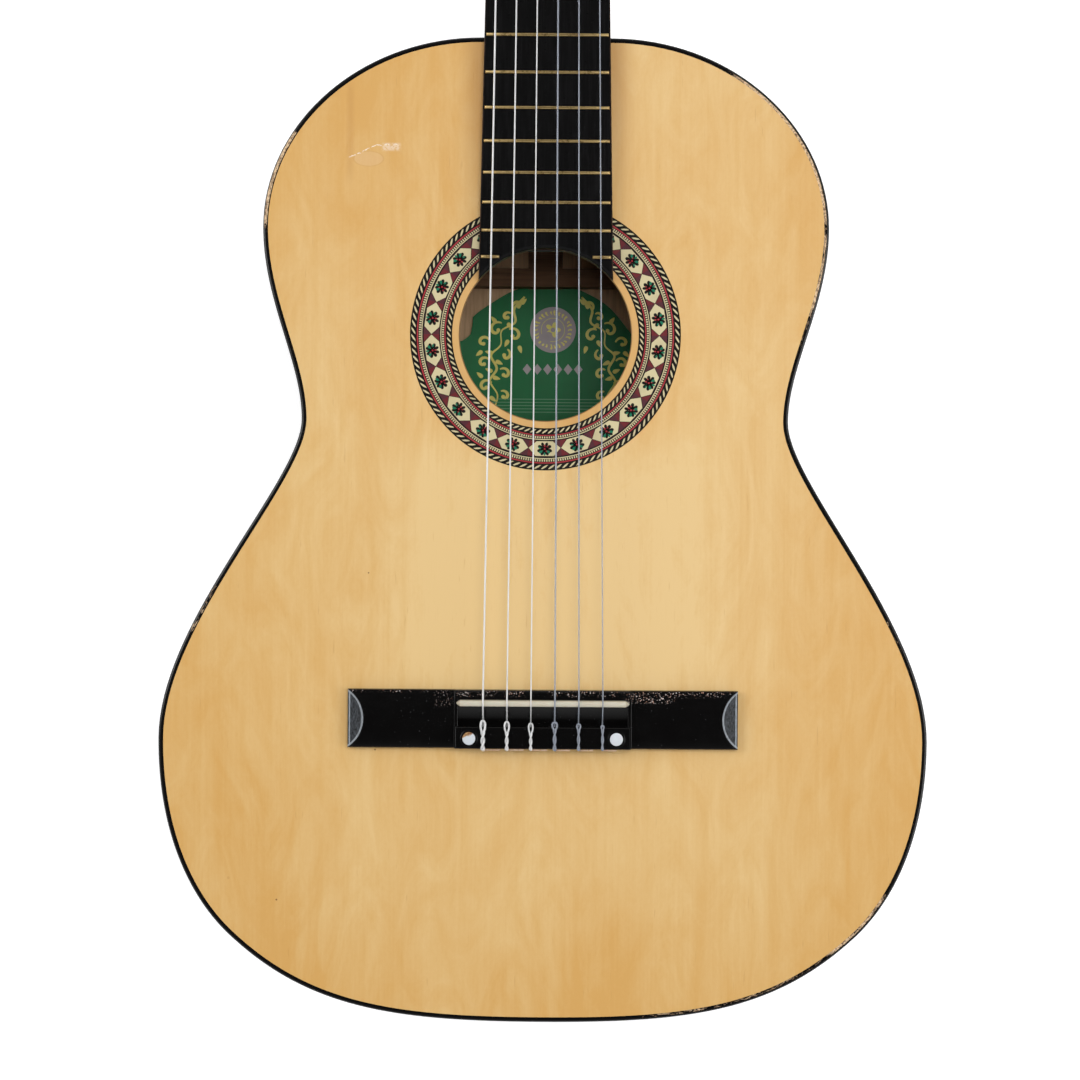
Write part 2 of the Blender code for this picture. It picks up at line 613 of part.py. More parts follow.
def make_string(index):
    """One string: tied over the bridge's tie block, over saddle and nut, and down to its roller."""
    radius = STRING_RADII[index]
    x = string_x(index, SPREAD_AT_SADDLE)
    clear = radius + GAP / 2
    tie_top = TOP_Z + GAP + TIE_BLOCK_HEIGHT + clear
    hole_z = TOP_Z + GAP + TIE_HOLE_HEIGHT
    rear = BRIDGE_Y - BRIDGE_HALF_WIDTH
    front = BRIDGE_Y + TIE_FACE
    saddle_top = TOP_Z + GAP + SADDLE_HEIGHT + clear
    nut_x = string_x(index, SPREAD_AT_NUT)
    nut_top = TOP_Z + GAP + NUT_HEIGHT + clear
    side, station, across = roller_of(index)
    contact = head_point(across, station - 1.5 * MM, -ROLLER_DEPTH + ROLLER_RADIUS + radius + GAP)
    route = [
        (x, front + 0.6 * MM, tie_top + 0.1 * MM),
        (x, rear - clear, tie_top),
        (x, rear - clear, hole_z),
        (x, front + MM, hole_z),
        (x, SADDLE_Y - 0.8 * MM, saddle_top),
        (x, SADDLE_Y + 0.5 * MM, saddle_top),
        (nut_x, NUT_Y + 0.6 * MM, nut_top),
        (nut_x, NUT_Y + NUT_THICKNESS / 2 + MM, nut_top),
        contact,
    ]
    curve = bpy.data.curves.new(f"string_{index + 1}", "CURVE")
    curve.dimensions = "3D"
    curve.bevel_depth = radius
    curve.bevel_resolution = 1
    curve.use_fill_caps = True
    points = rounded(route, 1.4 * MM)
    spline = curve.splines.new("POLY")
    spline.points.add(len(points) - 1)
    for target, point in zip(spline.points, points):
        target.co = (*point, 1.0)
    curve.materials.append(material("wound_string" if index < 3 else "nylon"))
    obj = bpy.data.objects.new(f"string_{6 - index}", curve)
    bpy.context.scene.collection.objects.link(obj)


# ---------------------------------------------------------------- neck

def neck_half_width(y):
    share = (y - JOINT_Y) / (NUT_Y - JOINT_Y)
    return JOINT_HALF + (NUT_HALF - JOINT_HALF) * share


def neck_section(y, rows=7):
    """Cross-section of the neck at y: a D near the nut that deepens and narrows into the heel."""
    from_joint = y - JOINT_Y
    heel = max(0.0, 1 - from_joint / HEEL_RUN) ** 2.6
    run = from_joint / (NUT_Y - JOINT_Y)
    shaft_depth = NECK_DEPTH_HEEL + (NECK_DEPTH_NUT - NECK_DEPTH_HEEL) * run
    full_depth = BODY_DEPTH - 3 * MM
    depth = shaft_depth + (full_depth - shaft_depth) * heel
    blend = min(1.0, heel * 3)
    half = neck_half_width(y)
    right = []
    for k in range(rows + 1):
        fall = math.sin(math.pi / 2 * k / rows)
        d_shape = max(2.0 * MM, half * (1 - fall ** 2.6) ** 0.45)
        taper = (1 - fall) ** 1.7
        heel_shape = half * taper + HEEL_CAP_HALF * (1 - taper)
        width = d_shape + (heel_shape - d_shape) * blend
        right.append(Vector((width, y, TOP_Z - depth * fall)))
    left = [Vector((-p.x, p.y, p.z)) for p in reversed(right)]
    return right + left


def make_neck():
    """Shaft and heel in one carved piece, from the body joint to the head."""
    stations = [JOINT_Y + GAP + HEEL_RUN * (k / 9) ** 1.3 for k in range(10)]
    shaft_run = NUT_Y + NUT_THICKNESS - JOINT_Y - HEEL_RUN
    stations += [JOINT_Y + HEEL_RUN + shaft_run * k / 5 for k in range(1, 6)]
    sections = [neck_section(y) for y in stations]
    neck = loft("neck", sections, "neck_wood")
    reach = 60 * MM
    scarf = prism("scarf_cutter", [(-reach, -reach), (reach, -reach), (reach, reach), (-reach, reach)],
                  -GAP, reach, None, helper=True, place=lambda a, b, c: head_point(a, c, b))
    boolean(neck, scarf, "DIFFERENCE")


def head_outline():
    """Plan of the head as (u, v): a flare behind the nut, parallel sides, and a three-lobed crest."""
    def curve(a, b, c, d, count):
        points = interpolate_bezier(*[Vector((*p, 0)) for p in (a, b, c, d)], count + 1)
        return [(p.x, p.y) for p in points[:-1]]

    half = HEAD_HALF
    length = HEAD_LENGTH
    right = curve((NUT_HALF, 0), (NUT_HALF, 8 * MM), (half, 4 * MM), (half, 18 * MM), 5)
    right += curve((half, 154 * MM), (half, 164 * MM), (29 * MM, 161 * MM), (25 * MM, 168 * MM), 4)
    right += curve((25 * MM, 168 * MM), (22 * MM, 175 * MM), (17 * MM, 167 * MM), (14 * MM, 177 * MM), 4)
    right += curve((14 * MM, 177 * MM), (11 * MM, 186 * MM), (5 * MM, length), (0, length), 4)
    left = [(-u, v) for u, v in reversed(right)]
    return right + [(0.0, length)] + left


def slot_outline(side):
    middle = side * (SLOT_INNER + SLOT_OUTER) / 2
    radius = (SLOT_OUTER - SLOT_INNER) / 2
    arc = [math.pi * k / 6 for k in range(7)]
    far = [(middle + radius * math.cos(a), SLOT_END - radius + radius * math.sin(a)) for a in arc]
    near = [(middle - radius * math.cos(a), SLOT_START + radius - radius * math.sin(a)) for a in arc]
    return far + near


def make_head():
    """Slotted head, its face veneer, and the bores that carry the rollers."""
    outline = head_outline()
    head = prism("head", outline, -HEAD_THICKNESS, 0.0, "neck_wood", place=head_point)
    veneer = prism("head_veneer", outline, GAP, VENEER, "black_lacquer", place=head_point)
    for side, word in ((-1, "bass"), (1, "treble")):
        slot = prism(f"slot_{word}", slot_outline(side), -2 * HEAD_THICKNESS, HEAD_THICKNESS, None,
                     place=head_point, helper=True)
        boolean(head, slot, "DIFFERENCE")
        boolean(veneer, slot, "DIFFERENCE")
        for number, station in enumerate(ROLLER_STATIONS):
            frame = roller_frame(side, station)
            drill(head, f"roller_bore_{word}_{number + 1}", frame, SLOT_OUTER - MM, HEAD_HALF + MM,
                  ROLLER_RADIUS + RUNNING + 0.2 * MM, steps=10)
            drill(head, f"roller_seat_{word}_{number + 1}", frame, 2.2 * MM, SLOT_INNER + MM,
                  ROLLER_NECK + RUNNING, steps=10)


def roller_frame(side, station):
    """Frame on a roller's axis: its Z runs outwards across the head, its origin is on the head's middle."""
    origin = head_point(0, station, -ROLLER_DEPTH)
    return axis_frame(origin, (side, 0, 0))


def fret_y(number):
    """Distance rule of equal temperament: each fret leaves 2^(-1/12) of the string before it."""
    return SADDLE_Y + SCALE_LENGTH * 2 ** (-number / 12)


def make_fingerboard():
    """Fingerboard with its frets standing on it, cut to the soundhole's circle at the end.
    Its side profile, with a low round crown at each fret, is carried across the tapering width."""
    low = TOP_Z + GAP
    surface = low + BOARD_THICKNESS
    end_y = HOLE_Y + 18 * MM
    profile = [(NUT_Y - GAP, surface)]
    for number in range(1, FRET_COUNT + 1):
        y = fret_y(number)
        half = FRET_WIDTH / 2
        profile += [(y + half, surface), (y + 0.55 * half, surface + 0.8 * FRET_HEIGHT),
                    (y, surface + FRET_HEIGHT),
                    (y - 0.55 * half, surface + 0.8 * FRET_HEIGHT), (y - half, surface)]
    profile += [(end_y, surface), (end_y, low), (NUT_Y - GAP, low)]
    right = [Vector((neck_half_width(y), y, z)) for y, z in profile]
    left = [Vector((-p.x, p.y, p.z)) for p in right]
    board = loft("fingerboard", [left, right], "black_lacquer")
    circle_frame = axis_frame((0, HOLE_Y, TOP_Z), (0, 0, 1))
    drill(board, "board_end_cutter", circle_frame, -MM, 20 * MM, SOUNDHOLE_RADIUS, steps=44)


def make_nut():
    """The nut, whose top slopes back towards the head."""
    section = [(GAP, 0), (NUT_THICKNESS - GAP, 0), (NUT_THICKNESS - GAP, NUT_HEIGHT - 1.2 * MM),
               (NUT_THICKNESS / 2 + 0.6 * MM, NUT_HEIGHT), (GAP, NUT_HEIGHT)]
    prism("nut", section, -NUT_HALF, NUT_HALF, "cream_plastic",
          place=lambda a, b, c: (c, NUT_Y + a, TOP_Z + GAP + b))


# ---------------------------------------------------------------- tuning machines

PLATE_U = HEAD_HALF + GAP
PLATE_FACE = PLATE_U + PLATE_THICKNESS
GEAR_U = PLATE_FACE + GEAR_STANDOFF


def plate_outline():
    """Scalloped outline of a machine plate as (v, n): wide round each machine, waisted between them."""
    start, stop = 36 * MM, 142 * MM
    spacing = ROLLER_STATIONS[1] - ROLLER_STATIONS[0]
    steps = 30
    edge = []
    for k in range(steps + 1):
        v = start + (stop - start) * k / steps
        phase = math.tau * (v - ROLLER_STATIONS[0] - CENTRE_DISTANCE / 2) / spacing
        half = (7.9 + 0.7 * math.cos(phase)) * MM
        from_end = min(v - start, stop - v)
        ending = 6 * MM
        if from_end < ending:
            half *= math.sqrt(1 - (1 - from_end / ending) ** 2) * 0.75 + 0.25
        edge.append((v, half))
    upper = [(v, -ROLLER_DEPTH + half) for v, half in edge]
    lower = [(v, -ROLLER_DEPTH - half) for v, half in reversed(edge)]
    return upper + lower


def make_plate(side, word):
    """Machine plate with a bore for each roller and two bearing lugs for each worm."""
    def place(a, b, c):
        return head_point(side * c, a, b)

    plate = prism(f"machine_plate_{word}", plate_outline(), PLATE_U, PLATE_FACE, "brass", place)
    for number, station in enumerate(ROLLER_STATIONS):
        frame = roller_frame(side, station)
        for end, name in ((-1, "low"), (1, "high")):
            near = -ROLLER_DEPTH + end * LUG_INNER
            far = near + end * LUG_THICKNESS
            axis_v = station + CENTRE_DISTANCE
            half = 3.0 * MM
            outline = [(axis_v - half, min(near, far)), (axis_v + half, min(near, far)),
                       (axis_v + half, max(near, far)), (axis_v - half, max(near, far))]
            lug = prism(f"lug_{word}_{number + 1}_{name}", outline, PLATE_FACE - 0.5 * MM, GEAR_U + 2.6 * MM,
                        None, place, helper=True)
            boolean(plate, lug, "UNION")
        drill(plate, f"plate_bore_{word}_{number + 1}", frame, PLATE_U - MM, PLATE_FACE + MM,
              ROLLER_NECK + RUNNING, steps=10)
        worm_axis = worm_frame(side, station)
        drill(plate, f"worm_bore_{word}_{number + 1}", worm_axis, -10 * MM, 10 * MM,
              WORM_SHAFT + RUNNING, steps=8)


def worm_frame(side, station):
    """Frame on a worm's axis: its Z points out of the head's face, its origin level with the roller."""
    origin = head_point(side * GEAR_U, station + CENTRE_DISTANCE, -ROLLER_DEPTH)
    return Matrix.Translation(origin) @ Matrix.Rotation(-HEAD_TILT, 4, "X")


def make_roller(side, station, name):
    """String roller: pivot in the head's middle, barrel across the slot, neck in the plate, gear stub."""
    frame = roller_frame(side, station)
    barrel_end = HEAD_HALF - 1.5 * MM
    profile = [
        (2.6 * MM, ROLLER_NECK - 0.4 * MM), (3.0 * MM, ROLLER_NECK), (SLOT_INNER + 0.4 * MM, ROLLER_NECK),
        (SLOT_INNER + 0.5 * MM, ROLLER_RADIUS), (barrel_end, ROLLER_RADIUS),
        (barrel_end + 0.1 * MM, ROLLER_NECK), (GEAR_U - GEAR_WIDTH / 2 - GAP, ROLLER_NECK),
        (GEAR_U - GEAR_WIDTH / 2 - GAP + INLAY_GAP, ROLLER_STUB),
        (GEAR_U + GEAR_WIDTH / 2 + 0.4 * MM, ROLLER_STUB),
    ]
    carry_on(turned(name, profile, frame, "white_plastic", steps=10), frame)


def gear_outline():
    """Tooth outline as (a, b) round the roller's axis, four points a tooth."""
    root = GEAR_PITCH_RADIUS - GEAR_DEDENDUM
    crest = GEAR_PITCH_RADIUS + GEAR_ADDENDUM
    outline = []
    for k in range(GEAR_TEETH):
        centre = math.tau * k / GEAR_TEETH
        pitch = math.tau / GEAR_TEETH
        for offset, radius in ((-0.31, root), (-0.13, crest), (0.13, crest), (0.31, root)):
            angle = centre + offset * pitch
            outline.append((radius * math.cos(angle), radius * math.sin(angle)))
    return outline


def make_gear(side, station, name):
    """Worm wheel: its teeth lean by the worm's lead angle, and one tooth points at the worm at rest."""
    frame = Matrix.Translation(head_point(side * GEAR_U, station, -ROLLER_DEPTH))
    frame = frame @ Matrix.Rotation(-HEAD_TILT, 4, "X")
    lead_angle = math.atan(LEAD / (math.tau * WORM_PITCH_RADIUS))
    lean = GEAR_WIDTH / 2 * math.tan(lead_angle) / GEAR_PITCH_RADIUS
    sections = []
    for way in (-1, 1):
        ring = []
        for a, b in gear_outline():
            turn = way * lean
            v = a * math.cos(turn) - b * math.sin(turn)
            n = a * math.sin(turn) + b * math.cos(turn)
            ring.append(frame @ Vector((way * GEAR_WIDTH / 2, v, n)))
        sections.append(ring)
    gear = loft(name, sections, "brass")
    carry_on(gear, frame)
    bore = roller_frame(side, station)
    drill(gear, f"{name}_bore", bore, GEAR_U - 4 * MM, GEAR_U + 4 * MM, ROLLER_STUB + 2 * INLAY_GAP, steps=8)


def make_worm(side, station, name):
    """Worm shaft: a helical thread on a core, with journals in the two lugs and a stem for the button."""
    frame = worm_frame(side, station)
    core_radius = WORM_PITCH_RADIUS - WORM_ROOT
    half = LUG_INNER - GAP
    far = -LUG_INNER - LUG_THICKNESS
    shaft = turned(name, [
        (BUTTON_START - 8 * MM, WORM_SHAFT), (-half, WORM_SHAFT), (-half + INLAY_GAP, core_radius),
        (half - INLAY_GAP, core_radius), (half, WORM_SHAFT), (-far + 0.4 * MM, WORM_SHAFT),
    ], frame, "steel", steps=8)
    steps = 8
    count = int(WORM_TURNS * steps)
    crest = WORM_PITCH_RADIUS + WORM_CREST
    root = core_radius - 0.25 * MM
    sections = []
    for k in range(count + 1):
        turns = k / steps - WORM_TURNS / 2
        angle = math.tau * turns + math.pi / 2
        middle = LEAD * turns
        ring = []
        for radius, offset in ((root, -0.31), (crest, -0.11), (crest, 0.11), (root, 0.31)):
            along = middle + offset * LEAD
            ring.append(frame @ Vector((radius * math.cos(angle), radius * math.sin(angle), along)))
        sections.append(ring)
    thread = loft(f"{name}_thread", sections, None, helper=True)
    boolean(shaft, thread, "UNION")
    carry_on(shaft, frame)


BUTTON_START = -12.5 * MM       # along the worm's axis from its middle
BUTTON_LENGTH = 20.0 * MM
BUTTON_HALF_WIDTH = 7.5 * MM
BUTTON_HALF_THICKNESS = 3.8 * MM


def make_button(side, station, name):
    """Flat oval button on the worm's stem: a round collar that swells into an oval blade."""
    frame = worm_frame(side, station)
    # (share of the length, share of the width, share of the thickness)
    shape = [(0.0, 0.36, 0.70), (0.12, 0.36, 0.70), (0.24, 0.62, 0.80), (0.45, 0.94, 1.0),
             (0.65, 1.0, 1.0), (0.85, 0.80, 0.86), (1.0, 0.34, 0.42)]
    sections = []
    for along, width, thickness in shape:
        ring = []
        for k in range(10):
            angle = math.tau * k / 10
            ring.append(frame @ Vector((
                BUTTON_HALF_THICKNESS * thickness * math.sin(angle),
                BUTTON_HALF_WIDTH * width * math.cos(angle),
                BUTTON_START - BUTTON_LENGTH * along,
            )))
        sections.append(ring)
    button = loft(name, sections, "white_plastic")
    carry_on(button, frame)
    drill(button, f"{name}_bore", frame, BUTTON_START - 9 * MM, BUTTON_START + MM,
          WORM_SHAFT + INLAY_GAP, steps=8)


def make_machines():
    """Both plates and the six machines, numbered like the strings: 6 is the thickest."""
    make_plate(-1, "bass")
    make_plate(1, "treble")
    for index in range(len(STRING_RADII)):
        side, station, _ = roller_of(index)
        number = 6 - index
        make_roller(side, station, f"roller_{number}")
        make_gear(side, station, f"gear_{number}")
        make_worm(side, station, f"worm_{number}")
        make_button(side, station, f"button_{number}")


def main():
    clear_scene()
    plan = body_plan()
    make_plates(plan)
    make_rosette()
    make_rim(plan)
    make_blocks()
    make_bracing()
    make_label()
    make_bridge()
    make_saddle()
    make_neck()
    make_head()
    make_fingerboard()
    make_nut()
    for index in range(len(STRING_RADII)):
        make_string(index)
    make_machines()


main()
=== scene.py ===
"""Looks of a full-size classical guitar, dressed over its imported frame.

Frame: +Z up out of the soundboard, +Y along the strings towards the head, +X towards the thin strings.
Lengths are metres in the meshes and millimetres in the patterns of the finishes.
"""

import logging
import math
from dataclasses import dataclass
from enum import Enum
from typing import Callable, Sequence, Union

import bpy
import numpy as np
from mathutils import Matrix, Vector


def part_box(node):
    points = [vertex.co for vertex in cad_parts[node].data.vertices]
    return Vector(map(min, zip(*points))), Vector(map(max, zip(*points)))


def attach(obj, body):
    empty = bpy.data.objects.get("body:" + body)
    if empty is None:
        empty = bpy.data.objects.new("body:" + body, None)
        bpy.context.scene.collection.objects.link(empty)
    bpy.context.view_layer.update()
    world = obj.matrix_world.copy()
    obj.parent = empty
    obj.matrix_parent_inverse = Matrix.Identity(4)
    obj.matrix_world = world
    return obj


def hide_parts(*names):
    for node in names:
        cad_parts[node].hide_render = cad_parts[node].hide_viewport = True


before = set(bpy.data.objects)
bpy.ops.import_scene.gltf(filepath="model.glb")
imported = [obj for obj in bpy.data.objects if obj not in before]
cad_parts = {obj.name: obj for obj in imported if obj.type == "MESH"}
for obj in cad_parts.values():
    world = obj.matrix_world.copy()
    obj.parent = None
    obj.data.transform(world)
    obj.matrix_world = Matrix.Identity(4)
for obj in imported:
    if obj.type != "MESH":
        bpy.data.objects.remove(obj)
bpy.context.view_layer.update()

LOG = logging.getLogger("guitar")
MM = 0.001
TAU = 2 * math.pi
ROOT = "guitar"
Number = Union[float, "Field"]
Colour = tuple[float, float, float]


# ---------------------------------------------------------------- places read from the frame

def node_box(node: str) -> tuple[np.ndarray, np.ndarray]:
    """Lowest and highest corner of a frame node, as arrays.

    Args:
        node: the node's name.
    Returns:
        The two corners in metres.
    """
    low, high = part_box(node)
    return np.array(low, float), np.array(high, float)


SOUNDBOARD_LOW, SOUNDBOARD_HIGH = node_box("soundboard")
BINDING_LOW, BINDING_HIGH = node_box("top_binding")
ROSETTE_LOW, ROSETTE_HIGH = node_box("rosette")
SADDLE_LOW, SADDLE_HIGH = node_box("saddle")
BRIDGE_LOW, BRIDGE_HIGH = node_box("bridge")
NUT_LOW, NUT_HIGH = node_box("nut")

TOP_Z = float(SOUNDBOARD_HIGH[2])
TAIL_Y = float(BINDING_LOW[1])
JOINT_Y = float(BINDING_HIGH[1])
HOLE_Y = float(ROSETTE_LOW[1] + ROSETTE_HIGH[1]) / 2
SADDLE_Y = float(SADDLE_LOW[1] + SADDLE_HIGH[1]) / 2
BRIDGE_Y = float(BRIDGE_LOW[1] + BRIDGE_HIGH[1]) / 2
SCALE_LENGTH = 2 * (JOINT_Y - SADDLE_Y)
NUT_Y = SADDLE_Y + SCALE_LENGTH
GAP = 0.3 * MM
HOLE_RADIUS = 42.0 * MM
HEAD_TILT = math.radians(15)


# ---------------------------------------------------------------- patterns and mixes

def feed(socket: bpy.types.NodeSocket, value: object) -> None:
    """Links a field into a socket, or stores a constant there.

    Args:
        socket: the input socket.
        value: a Field, a number, or a colour of three parts.
    """
    if isinstance(value, Field):
        value.tree.links.new(value.socket, socket)
    elif isinstance(value, (int, float)):
        socket.default_value = float(value)
    else:
        parts = tuple(value)
        socket.default_value = (*parts, 1.0) if socket.type == "RGBA" else parts


class Field:
    """A number that a finish works out at every point of its surface, with arithmetic on it."""

    def __init__(self, tree: bpy.types.NodeTree, socket: bpy.types.NodeSocket) -> None:
        """Wraps an output socket of the tree."""
        self.tree = tree
        self.socket = socket

    def calc(self, operation: str, *others: Number) -> "Field":
        """Applies a named arithmetic operation with this field first."""
        return calculate(self.tree, operation, self, *others)

    def __add__(self, other: Number) -> "Field":
        """Sum."""
        return self.calc("ADD", other)

    __radd__ = __add__

    def __sub__(self, other: Number) -> "Field":
        """Difference."""
        return self.calc("SUBTRACT", other)

    def __rsub__(self, other: Number) -> "Field":
        """Difference from a number."""
        return calculate(self.tree, "SUBTRACT", other, self)

    def __mul__(self, other: Number) -> "Field":
        """Product."""
        return self.calc("MULTIPLY", other)

    __rmul__ = __mul__

    def __truediv__(self, other: Number) -> "Field":
        """Quotient."""
        return self.calc("DIVIDE", other)

    def size(self) -> "Field":
        """Absolute value."""
        return self.calc("ABSOLUTE")

    def below(self, limit: Number) -> "Field":
        """One where this is under the limit, else nought."""
        return self.calc("LESS_THAN", limit)

    def at_least(self, other: Number) -> "Field":
        """The larger of the two."""
        return self.calc("MAXIMUM", other)

    def at_most(self, other: Number) -> "Field":
        """The smaller of the two."""
        return self.calc("MINIMUM", other)

    def rise(self, low: float, high: float) -> "Field":
        """Eases from 0 at low to 1 at high, or the other way round when low is the larger.

        Args:
            low: where the result is 0.
            high: where the result is 1.
        Returns:
            The eased field, held between 0 and 1.
        """
        node = self.tree.nodes.new("ShaderNodeMapRange")
        node.interpolation_type = "SMOOTHSTEP"
        feed(node.inputs["Value"], self)
        ends = (low, high, 0.0, 1.0) if low < high else (high, low, 1.0, 0.0)
        for slot, value in zip(("From Min", "From Max", "To Min", "To Max"), ends):
            node.inputs[slot].default_value = value
        return Field(self.tree, node.outputs["Result"])

    def hump(self, middle: float, half: float, soft: float) -> "Field":
        """One within half of middle, easing to nought over soft on both sides."""
        return (self - middle).size().rise(half + soft, half)


def calculate(tree: bpy.types.NodeTree, operation: str, *values: Number) -> Field:
    """A named arithmetic operation on fields and numbers.

    Args:
        tree: the finish's node tree.
        operation: Blender's name of the operation.
        values: its operands, in order.
    Returns:
        The result as a field.
    """
    node = tree.nodes.new("ShaderNodeMath")
    node.operation = operation
    for socket, value in zip(node.inputs, values):
        feed(socket, value)
    return Field(tree, node.outputs[0])


class Bench:
    """The node tree of one finish: where a point is, patterns there, and what the shader gets."""

    def __init__(self, name: str) -> None:
        """Starts a new material with an empty Principled shader."""
        self.material = bpy.data.materials.new(name)
        self.material.use_nodes = True
        self.tree = self.material.node_tree
        self.shader = self.tree.nodes["Principled BSDF"]

    def split(self, socket: bpy.types.NodeSocket, scale: float) -> tuple[Field, Field, Field]:
        """The three parts of a vector, each times scale."""
        node = self.tree.nodes.new("ShaderNodeSeparateXYZ")
        self.tree.links.new(socket, node.inputs[0])
        return tuple(Field(self.tree, out) * scale for out in node.outputs)

    def place(self) -> tuple[Field, Field, Field]:
        """The point's place in the frame, in millimetres."""
        node = self.tree.nodes.new("ShaderNodeTexCoord")
        return self.split(node.outputs["Object"], 1000.0)

    def run(self) -> tuple[Field, Field]:
        """The piece's own UV in millimetres: along the piece, and across or round it."""
        node = self.tree.nodes.new("ShaderNodeUVMap")
        node.uv_map = "run"
        along, across, _ = self.split(node.outputs["UV"], 1000.0)
        return along, across

    def point(self, x: Number, y: Number, z: Number = 0.0) -> Field:
        """A vector from three numbers or fields."""
        node = self.tree.nodes.new("ShaderNodeCombineXYZ")
        for socket, value in zip(node.inputs, (x, y, z)):
            feed(socket, value)
        return Field(self.tree, node.outputs[0])

    def noise(self, at: Field, scale: float, detail: float = 2.0, rough: float = 0.5,
              twist: float = 0.0) -> Field:
        """Cloudy noise about one half, in patches of roughly 1/scale.

        Args:
            at: the vector it is read at.
            scale: patches for each unit of length.
            detail: number of finer layers.
            rough: strength of the finer layers.
            twist: how far it distorts itself.
        Returns:
            The noise, mostly between 0.3 and 0.7.
        """
        node = self.tree.nodes.new("ShaderNodeTexNoise")
        feed(node.inputs["Vector"], at)
        for slot, value in (("Scale", scale), ("Detail", detail), ("Roughness", rough), ("Distortion", twist)):
            node.inputs[slot].default_value = value
        return Field(self.tree, node.outputs["Fac"])

    def specks(self, at: Field, scale: float, reach: float) -> Field:
        """Scattered round specks: 1 within reach of random points, about one for each 1/scale.

        Args:
            at: the vector it is read at.
            scale: points for each unit of length.
            reach: a speck's radius as a share of the spacing.
        Returns:
            A field that is 1 in a speck and 0 elsewhere.
        """
        node = self.tree.nodes.new("ShaderNodeTexVoronoi")
        feed(node.inputs["Vector"], at)
        node.inputs["Scale"].default_value = scale
        return Field(self.tree, node.outputs["Distance"]).rise(reach, reach * 0.6)

    def mix(self, first: object, second: object, share: Number) -> Field:
        """A colour part of the way from the first to the second.

        Args:
            first: colour or field at share 0.
            second: colour or field at share 1.
            share: the blend.
        Returns:
            The mixed colour.
        """
        node = self.tree.nodes.new("ShaderNodeMix")
        node.data_type = "RGBA"
        feed(node.inputs["Factor"], share)
        colours = [socket for socket in node.inputs if socket.type == "RGBA"]
        feed(colours[0], first)
        feed(colours[1], second)
        return Field(self.tree, next(out for out in node.outputs if out.type == "RGBA"))

    def tint(self, name: str = "tint") -> Field:
        """The colour stored on the piece's own faces."""
        node = self.tree.nodes.new("ShaderNodeAttribute")
        node.attribute_name = name
        return Field(self.tree, node.outputs["Color"])

    def give(self, **values: object) -> None:
        """Feeds the shader's sockets, named with _ for a space."""
        for name, value in values.items():
            feed(self.shader.inputs[name.replace("_", " ")], value)

    def emboss(self, height: Field, depth_mm: float, strength: float = 1.0) -> None:
        """Raises the surface by a field.

        Args:
            height: 0 at the surface, 1 at full height.
            depth_mm: what 1 stands for.
            strength: share of the effect.
        """
        node = self.tree.nodes.new("ShaderNodeBump")
        node.inputs["Strength"].default_value = strength
        node.inputs["Distance"].default_value = depth_mm * MM
        feed(node.inputs["Height"], height)
        self.tree.links.new(node.outputs["Normal"], self.shader.inputs["Normal"])


@dataclass(frozen=True)
class Finish:
    """A finish of the guitar. Each kind paints its own bench, once."""

    name: str

    def paint(self, bench: Bench) -> None:
        """Sets the shader of the bench."""
        raise NotImplementedError

    def material(self) -> bpy.types.Material:
        """The finish's material, made the first time it is asked for."""
        found = bpy.data.materials.get("finish_" + self.name)
        if found is None:
            bench = Bench("finish_" + self.name)
            self.paint(bench)
            found = bench.material
        return found


# ---------------------------------------------------------------- finishes

